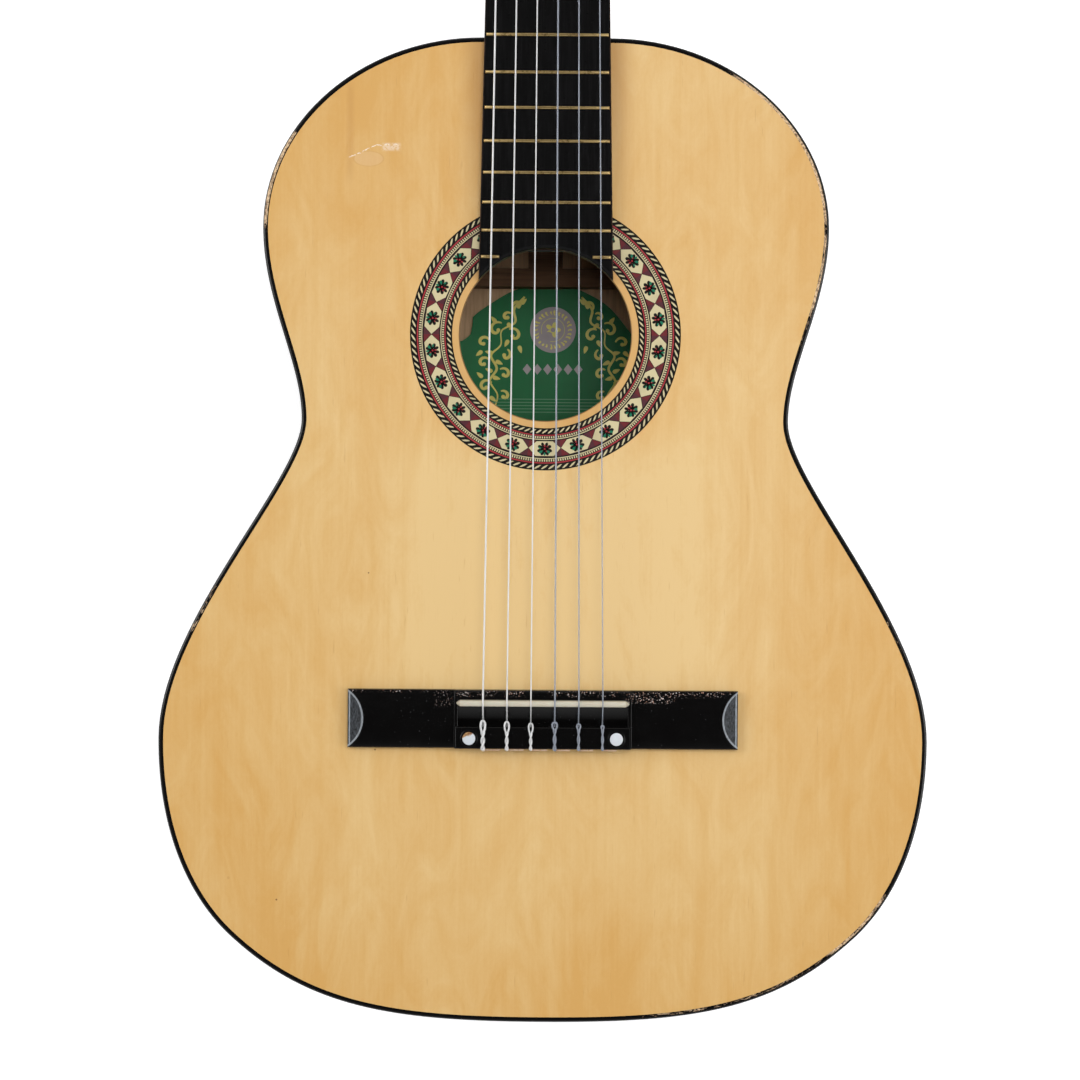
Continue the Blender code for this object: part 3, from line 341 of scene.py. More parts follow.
@dataclass(frozen=True)
class SpruceFinish(Finish):
    """Lacquered soundboard: broad warm and pale zones, faint grain, soft flame and small marks, and a painted shadow
    beside the fingerboard.
    """

    pale: Colour = (0.800, 0.560, 0.255)
    warm: Colour = (0.700, 0.400, 0.125)
    streak: Colour = (0.560, 0.275, 0.080)
    scar: Colour = (0.93, 0.80, 0.66)

    def paint(self, bench: Bench) -> None:
        """Sets colour, gloss and relief."""
        x, y, z = bench.place()
        broad = bench.noise(bench.point(x, y * 0.35), 0.011, 2.0, 0.5, 0.6)
        upper = y.rise((HOLE_Y - 0.07) / MM, (JOINT_Y - 0.03) / MM) * x.rise(60.0, -110.0)
        rim = x.size().rise(100.0, 185.0) * 0.35 + y.rise(TAIL_Y / MM + 75.0, TAIL_Y / MM) * 0.35
        calm = x.hump(5.0, 55.0, 45.0) * y.hump(TAIL_Y / MM + 222.0, 40.0, 40.0)
        share = (broad - 0.42) * 1.2 + upper * 0.40 + rim - calm * 0.62 + 0.42
        lines = bench.noise(bench.point(x, y * 0.012), 0.85, 3.0, 0.6, 0.15)
        bands = bench.noise(bench.point(x, y * 0.025), 0.13, 2.0, 0.5, 0.6)
        flame = bench.noise(bench.point(x * 0.6, y * 0.20), 0.075, 4.0, 0.6, 2.4)
        mottle = bench.noise(bench.point(x, y * 0.6), 0.70, 3.0, 0.7)
        share = share + (bands - 0.5) * 0.5 + (flame - 0.5) * 1.15 + (lines - 0.5) * 0.35 + (mottle - 0.5) * 0.35
        wood = bench.mix(self.pale, self.warm, share.at_least(0.0).at_most(1.0))
        fine = bench.noise(bench.point(x, y * 0.03), 1.9, 2.0, 0.7).rise(0.60, 0.78) * 0.16
        ticks = bench.noise(bench.point(x * 1.2, y * 0.09), 0.55, 2.0, 0.6).rise(0.68, 0.76) * 0.35
        wood = bench.mix(wood, self.streak, fine + ticks)
        stain = (x + 96.0).size().rise(3.0, 0.2) * y.hump(435.0 + TAIL_Y / MM, 17.0, 12.0) * 0.35
        wood = bench.mix(wood, self.streak, stain)
        dents = bench.specks(bench.point(x, y), 0.024, 0.013)
        wood = bench.mix(wood, (0.16, 0.06, 0.02), dents * 0.8)
        knocks = bench.specks(bench.point(x * 1.1 + 40.0, y + 13.0), 0.016, 0.016)
        wood = bench.mix(wood, self.streak, knocks * 0.4)
        station = y - TAIL_Y / MM
        wander = (bench.noise(bench.point(x, y), 0.45, 3.0, 0.7) - 0.5) * 3.6
        ridge = ((x + 94.4) * 0.47 + 423.0).at_most(428.4) + wander
        breaks = bench.noise(bench.point(x, y), 0.9, 2.0).rise(0.40, 0.5)
        scratch = (station - ridge).size().rise(0.42, 0.12) * x.hump(-84.5, 11.0, 1.5) * breaks
        scuff = x.hump(-76.0, 3.0, 2.5) * station.hump(427.4, 0.8, 1.8) * (breaks * 0.35 + 0.15)
        scratch = scratch.at_least(scuff)
        bruise = ((x + 87.0) * 0.14).calc("POWER", 2.0) + ((station - 421.6) * 0.28).calc("POWER", 2.0)
        wood = bench.mix(wood, (0.76, 0.52, 0.30), bruise.rise(1.05, 0.9) * 0.30)
        wood = bench.mix(wood, self.streak, bruise.hump(1.05, 0.06, 0.12) * 0.25)
        wood = bench.mix(wood, self.scar, scratch)
        away = (x.calc("POWER", 2.0) + (y - HOLE_Y / MM).calc("POWER", 2.0)).calc("SQRT")
        wood = bench.mix(wood, (0.62, 0.335, 0.105), away.rise(45.9, 45.3) * 0.5)
        under_board = away.rise(44.6, 44.0) * x.size().rise(31.8, 31.4) * y.rise(HOLE_Y / MM + 22, HOLE_Y / MM + 24)
        wood = bench.mix(wood, (0.006, 0.005, 0.005), under_board)
        wood = bench.mix(wood, (0.22, 0.10, 0.035), away.hump(42.2, 0.12, 0.25) * 0.75)
        # Painted shadow: the wood on both sides of the fingerboard, towards the neck joint, is tinted a darker orange
        # brown.
        beside = x.size().rise(46.0, 32.0) * y.rise(HOLE_Y / MM + 55.0, JOINT_Y / MM - 20.0)
        wood = bench.mix(wood, (0.50, 0.235, 0.065), beside * 0.5)
        bench.give(Base_Color=wood, Roughness=lines * 0.12 + 0.26 + scratch * 0.3, Coat_Weight=0.35,
                   Coat_Roughness=0.12)
        bench.emboss(lines * 0.3 + bench.noise(bench.point(x, y, z), 0.08, 1.0) - dents - scratch, 0.04, 0.5)


@dataclass(frozen=True)
class LacquerFinish(Finish):
    """Gloss black lacquer over wood, with fine dust, slight waviness and short hairlines."""

    black: Colour = (0.0032, 0.0030, 0.0029)
    dust: float = 0.25
    gloss: float = 0.20

    def paint(self, bench: Bench) -> None:
        """Sets colour, gloss and relief."""
        x, y, z = bench.place()
        at = bench.point(x, y, z)
        cloud = bench.noise(at, 0.05, 3.0, 0.6)
        hairs = bench.noise(bench.point(x * 0.2, y * 2.2, z), 1.1, 2.0, 0.8).rise(0.66, 0.74)
        motes = bench.specks(at, 0.45, 0.09)
        share = motes * self.dust + hairs * self.dust * 0.12
        colour = bench.mix(self.black, (0.20, 0.19, 0.18), share)
        bench.give(Base_Color=colour, Roughness=(cloud - 0.5) * 0.22 + self.gloss + motes * 0.3)
        bench.emboss(bench.noise(at, 0.12, 2.0), 0.08, 0.35)


@dataclass(frozen=True)
class EdgeFinish(Finish):
    """Black edge binding. Along some stretches the paint is rubbed through to wood between two thin
    black lines, and small chips show elsewhere."""

    black: Colour = (0.0036, 0.0032, 0.0031)
    bare: Colour = (0.78, 0.56, 0.34)
    grime: Colour = (0.16, 0.085, 0.04)
    rubbed_bass: tuple[tuple[float, float, float], ...] = (
        (411.0, 20.0, 0.95), (199.0, 10.0, 0.55), (290.0, 10.0, 0.25))
    rubbed_treble: tuple[tuple[float, float, float], ...] = (
        (432.0, 28.0, 1.15), (378.0, 24.0, 0.75), (345.0, 12.0, 0.45), (50.0, 10.0, 0.75), (186.0, 12.0, 0.35))

    def zones(self, station: Field, rows: Sequence[tuple[float, float, float]]) -> Field:
        """How strongly the paint is rubbed at a station, from rows of (middle, half, strength)."""
        total = station.hump(rows[0][0], rows[0][1], 8.0) * rows[0][2]
        for middle, half, strength in rows[1:]:
            total = total + station.hump(middle, half, 8.0) * strength
        return total

    def paint(self, bench: Bench) -> None:
        """Sets colour, gloss and relief."""
        x, y, z = bench.place()
        along, across = bench.run()
        station = y - TAIL_Y / MM
        right = x.rise(-1.0, 1.0)
        rub = self.zones(station, self.rubbed_treble) * right
        rub = rub + self.zones(station, self.rubbed_bass) * (right * -1.0 + 1.0)
        rub = rub + station.hump(10.0, 30.0, 6.0) * x.rise(38.0, 60.0) * 0.50
        patch = bench.noise(bench.point(along, across * 3.0), 0.16, 4.0, 0.7, 0.5)
        chips = bench.noise(bench.point(along * 1.0, across * 1.5), 0.62, 3.0, 0.75)
        between = (across - right * 0.70).hump(8.25, 0.62, 0.18)
        corner = across.hump(8.2, 0.9, 0.3)
        worn = (patch * 0.6 + chips * 0.4 + rub * 0.30).rise(0.66, 0.72) * between
        nicks = chips.rise(0.66, 0.70) * corner * rub.rise(0.0, 0.3)
        share = worn.at_least(nicks)
        wood = bench.mix(self.bare, self.grime, chips.rise(0.42, 0.62))
        colour = bench.mix(self.black, wood, share)
        bench.give(Base_Color=colour, Roughness=share * 0.35 + 0.20 + (patch - 0.5) * 0.2)
        bench.emboss(chips * 0.4 - share, 0.12, 0.6)


@dataclass(frozen=True)
class BareWoodFinish(Finish):
    """Unfinished wood inside the body: dull, with long grain and darker pores."""

    light: Colour = (0.66, 0.44, 0.26)
    dark: Colour = (0.42, 0.26, 0.15)
    lengthwise: bool = True

    def paint(self, bench: Bench) -> None:
        """Sets colour, gloss and relief."""
        x, y, z = bench.place()
        at = bench.point(x, y * 0.05, z * 0.4) if self.lengthwise else bench.point(x * 0.05, y, z * 0.6)
        grain = bench.noise(at, 0.55, 4.0, 0.6, 0.3)
        pores = bench.noise(at, 2.4, 2.0, 0.7).rise(0.58, 0.74)
        cloud = bench.noise(bench.point(x, y, z), 0.03, 2.0)
        colour = bench.mix(self.light, self.dark, (grain.rise(0.35, 0.7) * 0.6 + (cloud - 0.4)).at_least(0.0))
        bench.give(Base_Color=bench.mix(colour, self.dark, pores * 0.5), Roughness=0.72 + pores * 0.1)
        bench.emboss(grain - pores * 0.5, 0.06, 0.5)


@dataclass(frozen=True)
class NeckFinish(Finish):
    """Stained and lacquered neck wood: dark brown with lengthwise grain and short pores."""

    light: Colour = (0.125, 0.042, 0.018)
    dark: Colour = (0.035, 0.012, 0.007)

    def paint(self, bench: Bench) -> None:
        """Sets colour, gloss and relief."""
        x, y, z = bench.place()
        grain = bench.noise(bench.point(x * 1.2, y * 0.035, z), 0.30, 4.0, 0.6, 0.8)
        pores = bench.noise(bench.point(x * 1.5, y * 0.12, z * 1.5), 1.6, 2.0, 0.8).rise(0.60, 0.72)
        colour = bench.mix(self.light, self.dark, grain.rise(0.34, 0.66))
        bench.give(Base_Color=bench.mix(colour, self.dark, pores * 0.6), Roughness=0.24 + pores * 0.16,
                   Coat_Weight=0.4, Coat_Roughness=0.10)
        bench.emboss(grain * 0.5 - pores, 0.03, 0.5)


@dataclass(frozen=True)
class BoardFinish(Finish):
    """Satin black fingerboard with fine lengthwise grain, a worn brown line along each long edge."""

    black: Colour = (0.0028, 0.0027, 0.0028)
    worn: Colour = (0.055, 0.028, 0.016)

    def paint(self, bench: Bench) -> None:
        """Sets colour, gloss and relief."""
        x, y, z = bench.place()
        grain = bench.noise(bench.point(x, y * 0.03, z), 1.3, 3.0, 0.7)
        weave = bench.noise(bench.point(x * 0.4, y * 0.9, z), 1.4, 2.0, 0.7)
        half = 30.7 - (y - JOINT_Y / MM) * (5.7 / 325.0)
        edge = (half - x.size()).size().rise(0.75, 0.15)
        patch = bench.noise(bench.point(x, y, z), 0.22, 3.0, 0.7)
        share = edge * patch.rise(0.36, 0.60)
        motes = bench.specks(bench.point(x, y, z), 0.55, 0.08) * 0.25
        colour = bench.mix(self.black, (0.0062, 0.0060, 0.0064), grain.rise(0.45, 0.65))
        colour = bench.mix(colour, (0.12, 0.12, 0.13), motes)
        bench.give(Base_Color=bench.mix(colour, self.worn, share), Roughness=(weave - 0.5) * 0.3 + 0.34,
                   Specular_IOR_Level=0.20)
        bench.emboss(grain * 0.6 + weave * 0.4, 0.03, 0.6)


@dataclass(frozen=True)
class MetalFinish(Finish):
    """Bare or plated metal with brushing, tarnish patches and tiny pits."""

    clean: Colour = (0.80, 0.62, 0.30)
    tarnish: Colour = (0.20, 0.12, 0.05)
    spread: float = 0.45
    polish: float = 0.24

    def paint(self, bench: Bench) -> None:
        """Sets colour, gloss and relief."""
        x, y, z = bench.place()
        at = bench.point(x, y, z)
        patch = bench.noise(at, 0.35, 4.0, 0.7, 0.4)
        brush = bench.noise(bench.point(x * 0.2, y * 3.0, z * 3.0), 1.2, 2.0, 0.6)
        share = patch.rise(0.62 - 0.16 * self.spread, 0.74) * (0.4 + 0.6 * self.spread)
        bench.give(Base_Color=bench.mix(self.clean, self.tarnish, share), Metallic=1.0,
                   Roughness=brush * 0.14 + self.polish + share * 0.3)
        bench.emboss(brush * 0.5 + patch, 0.02, 0.5)


@dataclass(frozen=True)
class PlasticFinish(Finish):
    """Moulded plastic or bone: even colour with faint clouds, hairlines and a little yellowing."""

    colour: Colour = (0.78, 0.79, 0.80)
    aged: Colour = (0.62, 0.56, 0.42)
    age: float = 0.25
    polish: float = 0.24

    def paint(self, bench: Bench) -> None:
        """Sets colour, gloss and relief."""
        x, y, z = bench.place()
        at = bench.point(x, y, z)
        cloud = bench.noise(at, 0.12, 3.0, 0.6)
        hairs = bench.noise(bench.point(x * 0.25, y * 2.5, z * 2.5), 1.0, 2.0, 0.7).rise(0.62, 0.72)
        colour = bench.mix(self.colour, self.aged, cloud.rise(0.40, 0.75) * self.age + hairs * 0.12)
        bench.give(Base_Color=colour, Roughness=self.polish + hairs * 0.15, Subsurface_Weight=0.06,
                   Subsurface_Scale=0.001)
        bench.emboss(cloud + hairs * 0.3, 0.02, 0.4)


@dataclass(frozen=True)
class WoundFinish(Finish):
    """Bass string: fine wire wound round a core, seen as close ridges along the string, with painted shade darkening
    the grooves between the turns.
    """

    silver: Colour = (0.93, 0.93, 0.93)
    turn_mm: float = 0.28

    def paint(self, bench: Bench) -> None:
        """Sets colour, gloss and relief."""
        along, around = bench.run()
        phase = along * (TAU / self.turn_mm) + around * 2.0
        ridge = phase.calc("SINE") * 0.5 + 0.5
        dull = bench.noise(bench.point(along, around), 0.05, 3.0, 0.6)
        colour = bench.mix(self.silver, (0.45, 0.43, 0.41), dull.rise(0.5, 0.8) * 0.5)
        # Painted shade: the grooves between the turns get a darker grey than the crests.
        bench.give(Base_Color=bench.mix((0.62, 0.62, 0.62), colour, ridge * 0.4 + 0.6), Metallic=0.55,
                   Roughness=0.34 + dull * 0.1)
        bench.emboss(ridge, 0.05, 0.35)


@dataclass(frozen=True)
class NylonFinish(Finish):
    """Clear nylon: a bluish, slightly cloudy rod."""

    colour: Colour = (0.64, 0.68, 0.76)

    def paint(self, bench: Bench) -> None:
        """Sets colour, gloss and relief."""
        along, around = bench.run()
        cloud = bench.noise(bench.point(along, around), 0.08, 3.0, 0.6)
        bench.give(Base_Color=bench.mix(self.colour, (0.50, 0.55, 0.65), cloud), Roughness=0.12 + cloud * 0.12,
                   Transmission_Weight=0.62, IOR=1.52)
        bench.emboss(cloud, 0.01, 0.4)


@dataclass(frozen=True)
class InlayFinish(Finish):
    """Printed or inlaid colours that the piece's faces carry, under a thin coat with a worn print."""

    gloss: float = 0.32
    wear: float = 0.12
    worn: Colour = (0.50, 0.38, 0.20)

    def paint(self, bench: Bench) -> None:
        """Sets colour, gloss and relief."""
        x, y, z = bench.place()
        at = bench.point(x, y, z)
        grit = bench.noise(at, 2.2, 3.0, 0.75)
        cloud = bench.noise(at, 0.09, 2.0, 0.5)
        colour = bench.mix(bench.tint(), self.worn, grit.rise(0.60, 0.72) * self.wear)
        colour = bench.mix(colour, (0.03, 0.02, 0.015), cloud.rise(0.45, 0.75) * self.wear)
        bench.give(Base_Color=colour, Roughness=self.gloss + (grit - 0.5) * 0.2, Coat_Weight=0.3,
                   Coat_Roughness=0.15)
        bench.emboss(grit, 0.015, 0.4)


SPRUCE = SpruceFinish("spruce_top")
LACQUER = LacquerFinish("black_lacquer")
EDGE = EdgeFinish("black_edge")
INNER_WOOD = BareWoodFinish("inner_wood")
BRACE_WOOD = BareWoodFinish("brace_wood", light=(0.20, 0.11, 0.06), dark=(0.10, 0.052, 0.028), lengthwise=False)
NECK_WOOD = NeckFinish("neck_wood")
BOARD = BoardFinish("fingerboard_black")
BRASS = MetalFinish("brass", clean=(0.70, 0.50, 0.21), tarnish=(0.16, 0.09, 0.035))
FRET_BRASS = MetalFinish("fret_brass", clean=(0.86, 0.62, 0.27), tarnish=(0.22, 0.13, 0.06), spread=0.9)
STEEL = MetalFinish("steel", clean=(0.62, 0.62, 0.64), tarnish=(0.25, 0.24, 0.23), spread=0.3)
CREAM = PlasticFinish("cream_plastic", colour=(0.60, 0.56, 0.45), aged=(0.50, 0.42, 0.28), age=0.35)
WHITE = PlasticFinish("white_plastic", colour=(0.66, 0.70, 0.74), aged=(0.55, 0.52, 0.45), age=0.2)
PEARL = PlasticFinish("button_plastic", colour=(0.80, 0.77, 0.70), aged=(0.66, 0.58, 0.45), age=0.5, polish=0.16)
ROLLER = PlasticFinish("roller_plastic", colour=(0.74, 0.71, 0.62), aged=(0.60, 0.52, 0.40), age=0.4)
TAIL = PlasticFinish("string_tail", colour=(0.60, 0.42, 0.30), aged=(0.30, 0.16, 0.09), age=0.6)
WOUND = WoundFinish("wound_string")
NYLON = NylonFinish("clear_nylon")
INLAY = InlayFinish("rosette_inlay")
PRINT = InlayFinish("label_paper", gloss=0.42, wear=0.10, worn=(0.03, 0.12, 0.06))


# ---------------------------------------------------------------- surfaces and pieces

@dataclass
class Patch:
    """A grid of points, or a stack of such grids, that becomes faces of a piece.

    points is (..., rows, columns, 3) in metres. run is the piece's own UV in metres, or None.
    finish is the index of the patch's finish, tint the colour its faces carry.
    """

    points: np.ndarray
    run: np.ndarray = None
    finish: int = 0
    tint: Colour = (1.0, 1.0, 1.0)


def loft(sections: np.ndarray, capped: bool = True, finish: int = 0, tint: Colour = (1.0, 1.0, 1.0)) -> list[Patch]:
    """A skin over closed sections, with a fan from the middle of each end section.

    Args:
        sections: (rows, points, 3), each row one closed section without its first point repeated.
        capped: whether both ends are closed.
        finish: index of the finish.
        tint: colour that the faces carry.
    Returns:
        The patches. Their UV runs along the mean line of the sections and round each section.
    """
    closed = np.concatenate([sections, sections[:, :1]], axis=1)
    middle = sections.mean(axis=1)
    along = np.concatenate([[0.0], np.cumsum(np.linalg.norm(np.diff(middle, axis=0), axis=1))])
    around = np.linalg.norm(np.diff(closed, axis=1), axis=2).mean(axis=0)
    around = np.concatenate([[0.0], np.cumsum(around)])
    run = np.stack(np.broadcast_arrays(along[:, None], around[None, :]), axis=-1)
    patches = [Patch(closed, run, finish, tint)]
    if capped:
        for row, way in ((0, -1), (-1, 1)):
            ring = closed[row][::way]
            patches.append(Patch(np.stack([ring, np.broadcast_to(middle[row], ring.shape)]), None, finish, tint))
    return patches


def fan(rings: np.ndarray, finish: int = 0, tint: Colour = (1.0, 1.0, 1.0)) -> Patch:
    """Flat tiles: each ring of points (..., count, 3) joined to its own middle."""
    closed = np.concatenate([rings, rings[..., :1, :]], axis=-2)
    middle = np.broadcast_to(rings.mean(axis=-2, keepdims=True), closed.shape)
    return Patch(np.stack([closed, middle], axis=-3), None, finish, tint)


def smooth_path(knots: Sequence[Sequence[float]], count: int) -> np.ndarray:
    """Points on a smooth curve through the knots (Catmull-Rom: each stretch is the cubic whose slope at
    a knot is half the step between that knot's neighbours).

    Args:
        knots: places it passes through, in metres.
        count: number of points.
    Returns:
        (count, 3) points, spread evenly over the stretches.
    """
    k = np.asarray(knots, float)
    k = np.concatenate([2 * k[:1] - k[1:2], k, 2 * k[-1:] - k[-2:-1]])
    t = np.linspace(0, len(k) - 3, count)
    i = np.minimum(t.astype(int), len(k) - 4)
    f = (t - i)[:, None]
    a, b, c, d = k[i], k[i + 1], k[i + 2], k[i + 3]
    return b + 0.5 * f * (c - a + f * (2 * a - 5 * b + 4 * c - d + f * (3 * (b - c) + d - a)))


def tube(path: np.ndarray, radius: object, sides: int = 12, side_of: Sequence[float] = (1.0, 0.0, 0.0),
         finish: int = 0) -> list[Patch]:
    """A round tube along a path. At each point the section's first axis is side_of with the part along
    the path taken out, and its second is square to both.

    Args:
        path: (count, 3) points in metres.
        radius: one radius, or one for each point.
        sides: points round the section.
        side_of: a direction that the path never takes.
        finish: index of the finish.
    Returns:
        The patches, with closed ends.
    """
    step = np.gradient(path, axis=0)
    step /= np.linalg.norm(step, axis=1, keepdims=True)
    first = np.asarray(side_of, float) - step * (step @ np.asarray(side_of, float))[:, None]
    first /= np.linalg.norm(first, axis=1, keepdims=True)
    second = np.cross(step, first)
    angle = np.linspace(0, TAU, sides, endpoint=False)
    radii = np.broadcast_to(np.asarray(radius, float), len(path))[:, None, None]
    ring = np.cos(angle)[None, :, None] * first[:, None] + np.sin(angle)[None, :, None] * second[:, None]
    patches = loft(path[:, None] + radii * ring, finish=finish)
    along = np.concatenate([[0.0], np.cumsum(np.linalg.norm(np.diff(path, axis=0), axis=1))])
    around = np.arange(sides + 1) / sides * float(np.mean(radii)) * TAU
    patches[0].run = np.stack(np.broadcast_arrays(along[:, None], around[None, :]), axis=-1)
    return patches


def turned(profile: Sequence[tuple[float, float]], place: Callable, sides: int = 32, finish: int = 0) -> list[Patch]:
    """A solid turned about an axis: profile gives (distance along the axis, radius) in millimetres.

    Args:
        profile: the rows of the profile.
        place: turns arrays (a, b, c), with c along the axis, into points.
        sides: points round it.
        finish: index of the finish.
    Returns:
        The patches.
    """
    rows = np.asarray(profile, float) * MM
    angle = np.linspace(0, TAU, sides, endpoint=False)
    a = rows[:, 1:] * np.cos(angle)
    b = rows[:, 1:] * np.sin(angle)
    return loft(place(a, b, np.broadcast_to(rows[:, :1], a.shape)), finish=finish)


def at(x: float, y: float, z: float) -> Callable:
    """A placing function whose axis is +Z from the point."""
    return lambda a, b, c: np.stack([x + a, y + b, z + c], axis=-1)


def faces_of(patches: Sequence[Patch]) -> tuple[np.ndarray, list, np.ndarray, np.ndarray, np.ndarray]:
    """Joins patches into one mesh: equal points become one, and a side that shrank to nothing goes.

    Args:
        patches: the grids.
    Returns:
        Points, faces, and for each face corner its UV and its tint, and for each face its finish.
    """
    points, corners, runs, tints, finishes = [], [], [], [], []
    offset = 0
    for patch in patches:
        grid = patch.points.reshape(-1, *patch.points.shape[-3:])
        count, rows, columns = grid.shape[:3]
        index = offset + np.arange(grid[..., 0].size).reshape(count, rows, columns)
        quads = np.stack([index[:, :-1, :-1], index[:, 1:, :-1], index[:, 1:, 1:], index[:, :-1, 1:]], -1)
        corners.append(quads.reshape(-1, 4))
        offset += grid[..., 0].size
        points.append(grid.reshape(-1, 3))
        run = np.zeros((grid[..., 0].size, 2)) if patch.run is None else np.broadcast_to(
            patch.run, (count, rows, columns, 2)).reshape(-1, 2)
        runs.append(run)
        tints.append(np.tile((*patch.tint, 1.0), (len(corners[-1]) * 4, 1)))
        finishes.append(np.full(len(corners[-1]), patch.finish))
    points, corners, runs = np.concatenate(points), np.concatenate(corners), np.concatenate(runs)
    _, first, inverse = np.unique(np.round(points / 1e-7).astype(np.int64), axis=0, return_index=True,
                                  return_inverse=True)
    joined = inverse.reshape(-1)[corners]
    keep = joined != np.roll(joined, -1, axis=1)
    whole = keep.sum(axis=1) >= 3
    keep &= whole[:, None]
    flat = joined[keep]
    ends = np.cumsum(keep.sum(axis=1)[whole])[:-1]
    faces = [face.tolist() for face in np.split(flat, ends)]
    return (points[first], faces, runs[corners[keep]], np.concatenate(tints)[keep.reshape(-1)],
            np.concatenate(finishes)[whole])


@dataclass
class Looks:
    """How a finished piece is smoothed and joined to the frame."""

    slot: str
    body: str = ROOT
    replaces: tuple[str, ...] = ()
    smooth: float = 40.0
    bevel: float = 0.0
    bevel_steps: int = 2
    sheet: bool = False


def add_piece(name: str, patches: Sequence[Patch], finishes: Sequence[Finish], looks: Looks) -> bpy.types.Object:
    """Makes a piece of the guitar from patches.

    Args:
        name: the piece's name.
        patches: its grids.
        finishes: its finishes, in the order of the patches' indices.
        looks: smoothing, body and the nodes it stands for.
    Returns:
        The new object, at the origin.
    """
    points, faces, runs, tints, indices = faces_of(patches)
    mesh = bpy.data.meshes.new(name)
    mesh.from_pydata(points, [], faces)
    mesh.uv_layers.new(name="run").data.foreach_set("uv", runs.astype(np.float32).ravel())
    colours = mesh.color_attributes.new(name="tint", type="FLOAT_COLOR", domain="CORNER")
    colours.data.foreach_set("color", tints.astype(np.float32).ravel())
    mesh.polygons.foreach_set("material_index", indices.astype(np.int32))
    for finish in finishes:
        mesh.materials.append(finish.material())
    turn_outwards(mesh, looks.sheet)
    mesh.shade_smooth()
    mesh.set_sharp_from_angle(angle=math.radians(looks.smooth))
    obj = bpy.data.objects.new(name, mesh)
    bpy.context.scene.collection.objects.link(obj)
    if looks.bevel:
        modifier = obj.modifiers.new("edge", "BEVEL")
        modifier.width = looks.bevel
        modifier.segments = looks.bevel_steps
        modifier.limit_method = "ANGLE"
        modifier.angle_limit = math.radians(looks.smooth)
        modifier.harden_normals = True
    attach(obj, looks.body)
    if looks.replaces:
        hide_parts(*looks.replaces)
    LOG.info("%s: %d faces", name, len(faces))
    return obj


def turn_outwards(mesh: bpy.types.Mesh, sheet: bool) -> None:
    """Makes a closed mesh face outwards, or every face of a flat sheet face up.

    Args:
        mesh: the mesh to change.
        sheet: whether it is an open sheet that faces +Z.
    """
    import bmesh
    work = bmesh.new()
    work.from_mesh(mesh)
    if sheet:
        work.normal_update()
        bmesh.ops.reverse_faces(work, faces=[face for face in work.faces if face.normal.z < 0])
    else:
        bmesh.ops.recalc_face_normals(work, faces=work.faces)
    work.to_mesh(mesh)
    work.free()
    mesh.update()


def dress(finish: Finish, *nodes: str) -> None:
    """Gives frame nodes a finish in their own material slots.

    Args:
        finish: the finish.
        nodes: names of frame nodes.
    """
    for node in nodes:
        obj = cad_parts[node]
        if not obj.material_slots:
            obj.data.materials.append(finish.material())
        for slot in obj.material_slots:
            slot.material = finish.material()
        LOG.info("%s: finished as %s", node, finish.name)


# ---------------------------------------------------------------- body

def bezier(knots: Sequence[tuple[float, float]], count: int) -> np.ndarray:
    """Points of a cubic curve from four knots in millimetres, without its last point."""
    t = np.linspace(0, 1, count + 1)[:-1, None]
    a, b, c, d = (np.array(knot) * MM for knot in knots)
    return a * (1 - t) ** 3 + 3 * b * t * (1 - t) ** 2 + 3 * c * t * t * (1 - t) + d * t ** 3


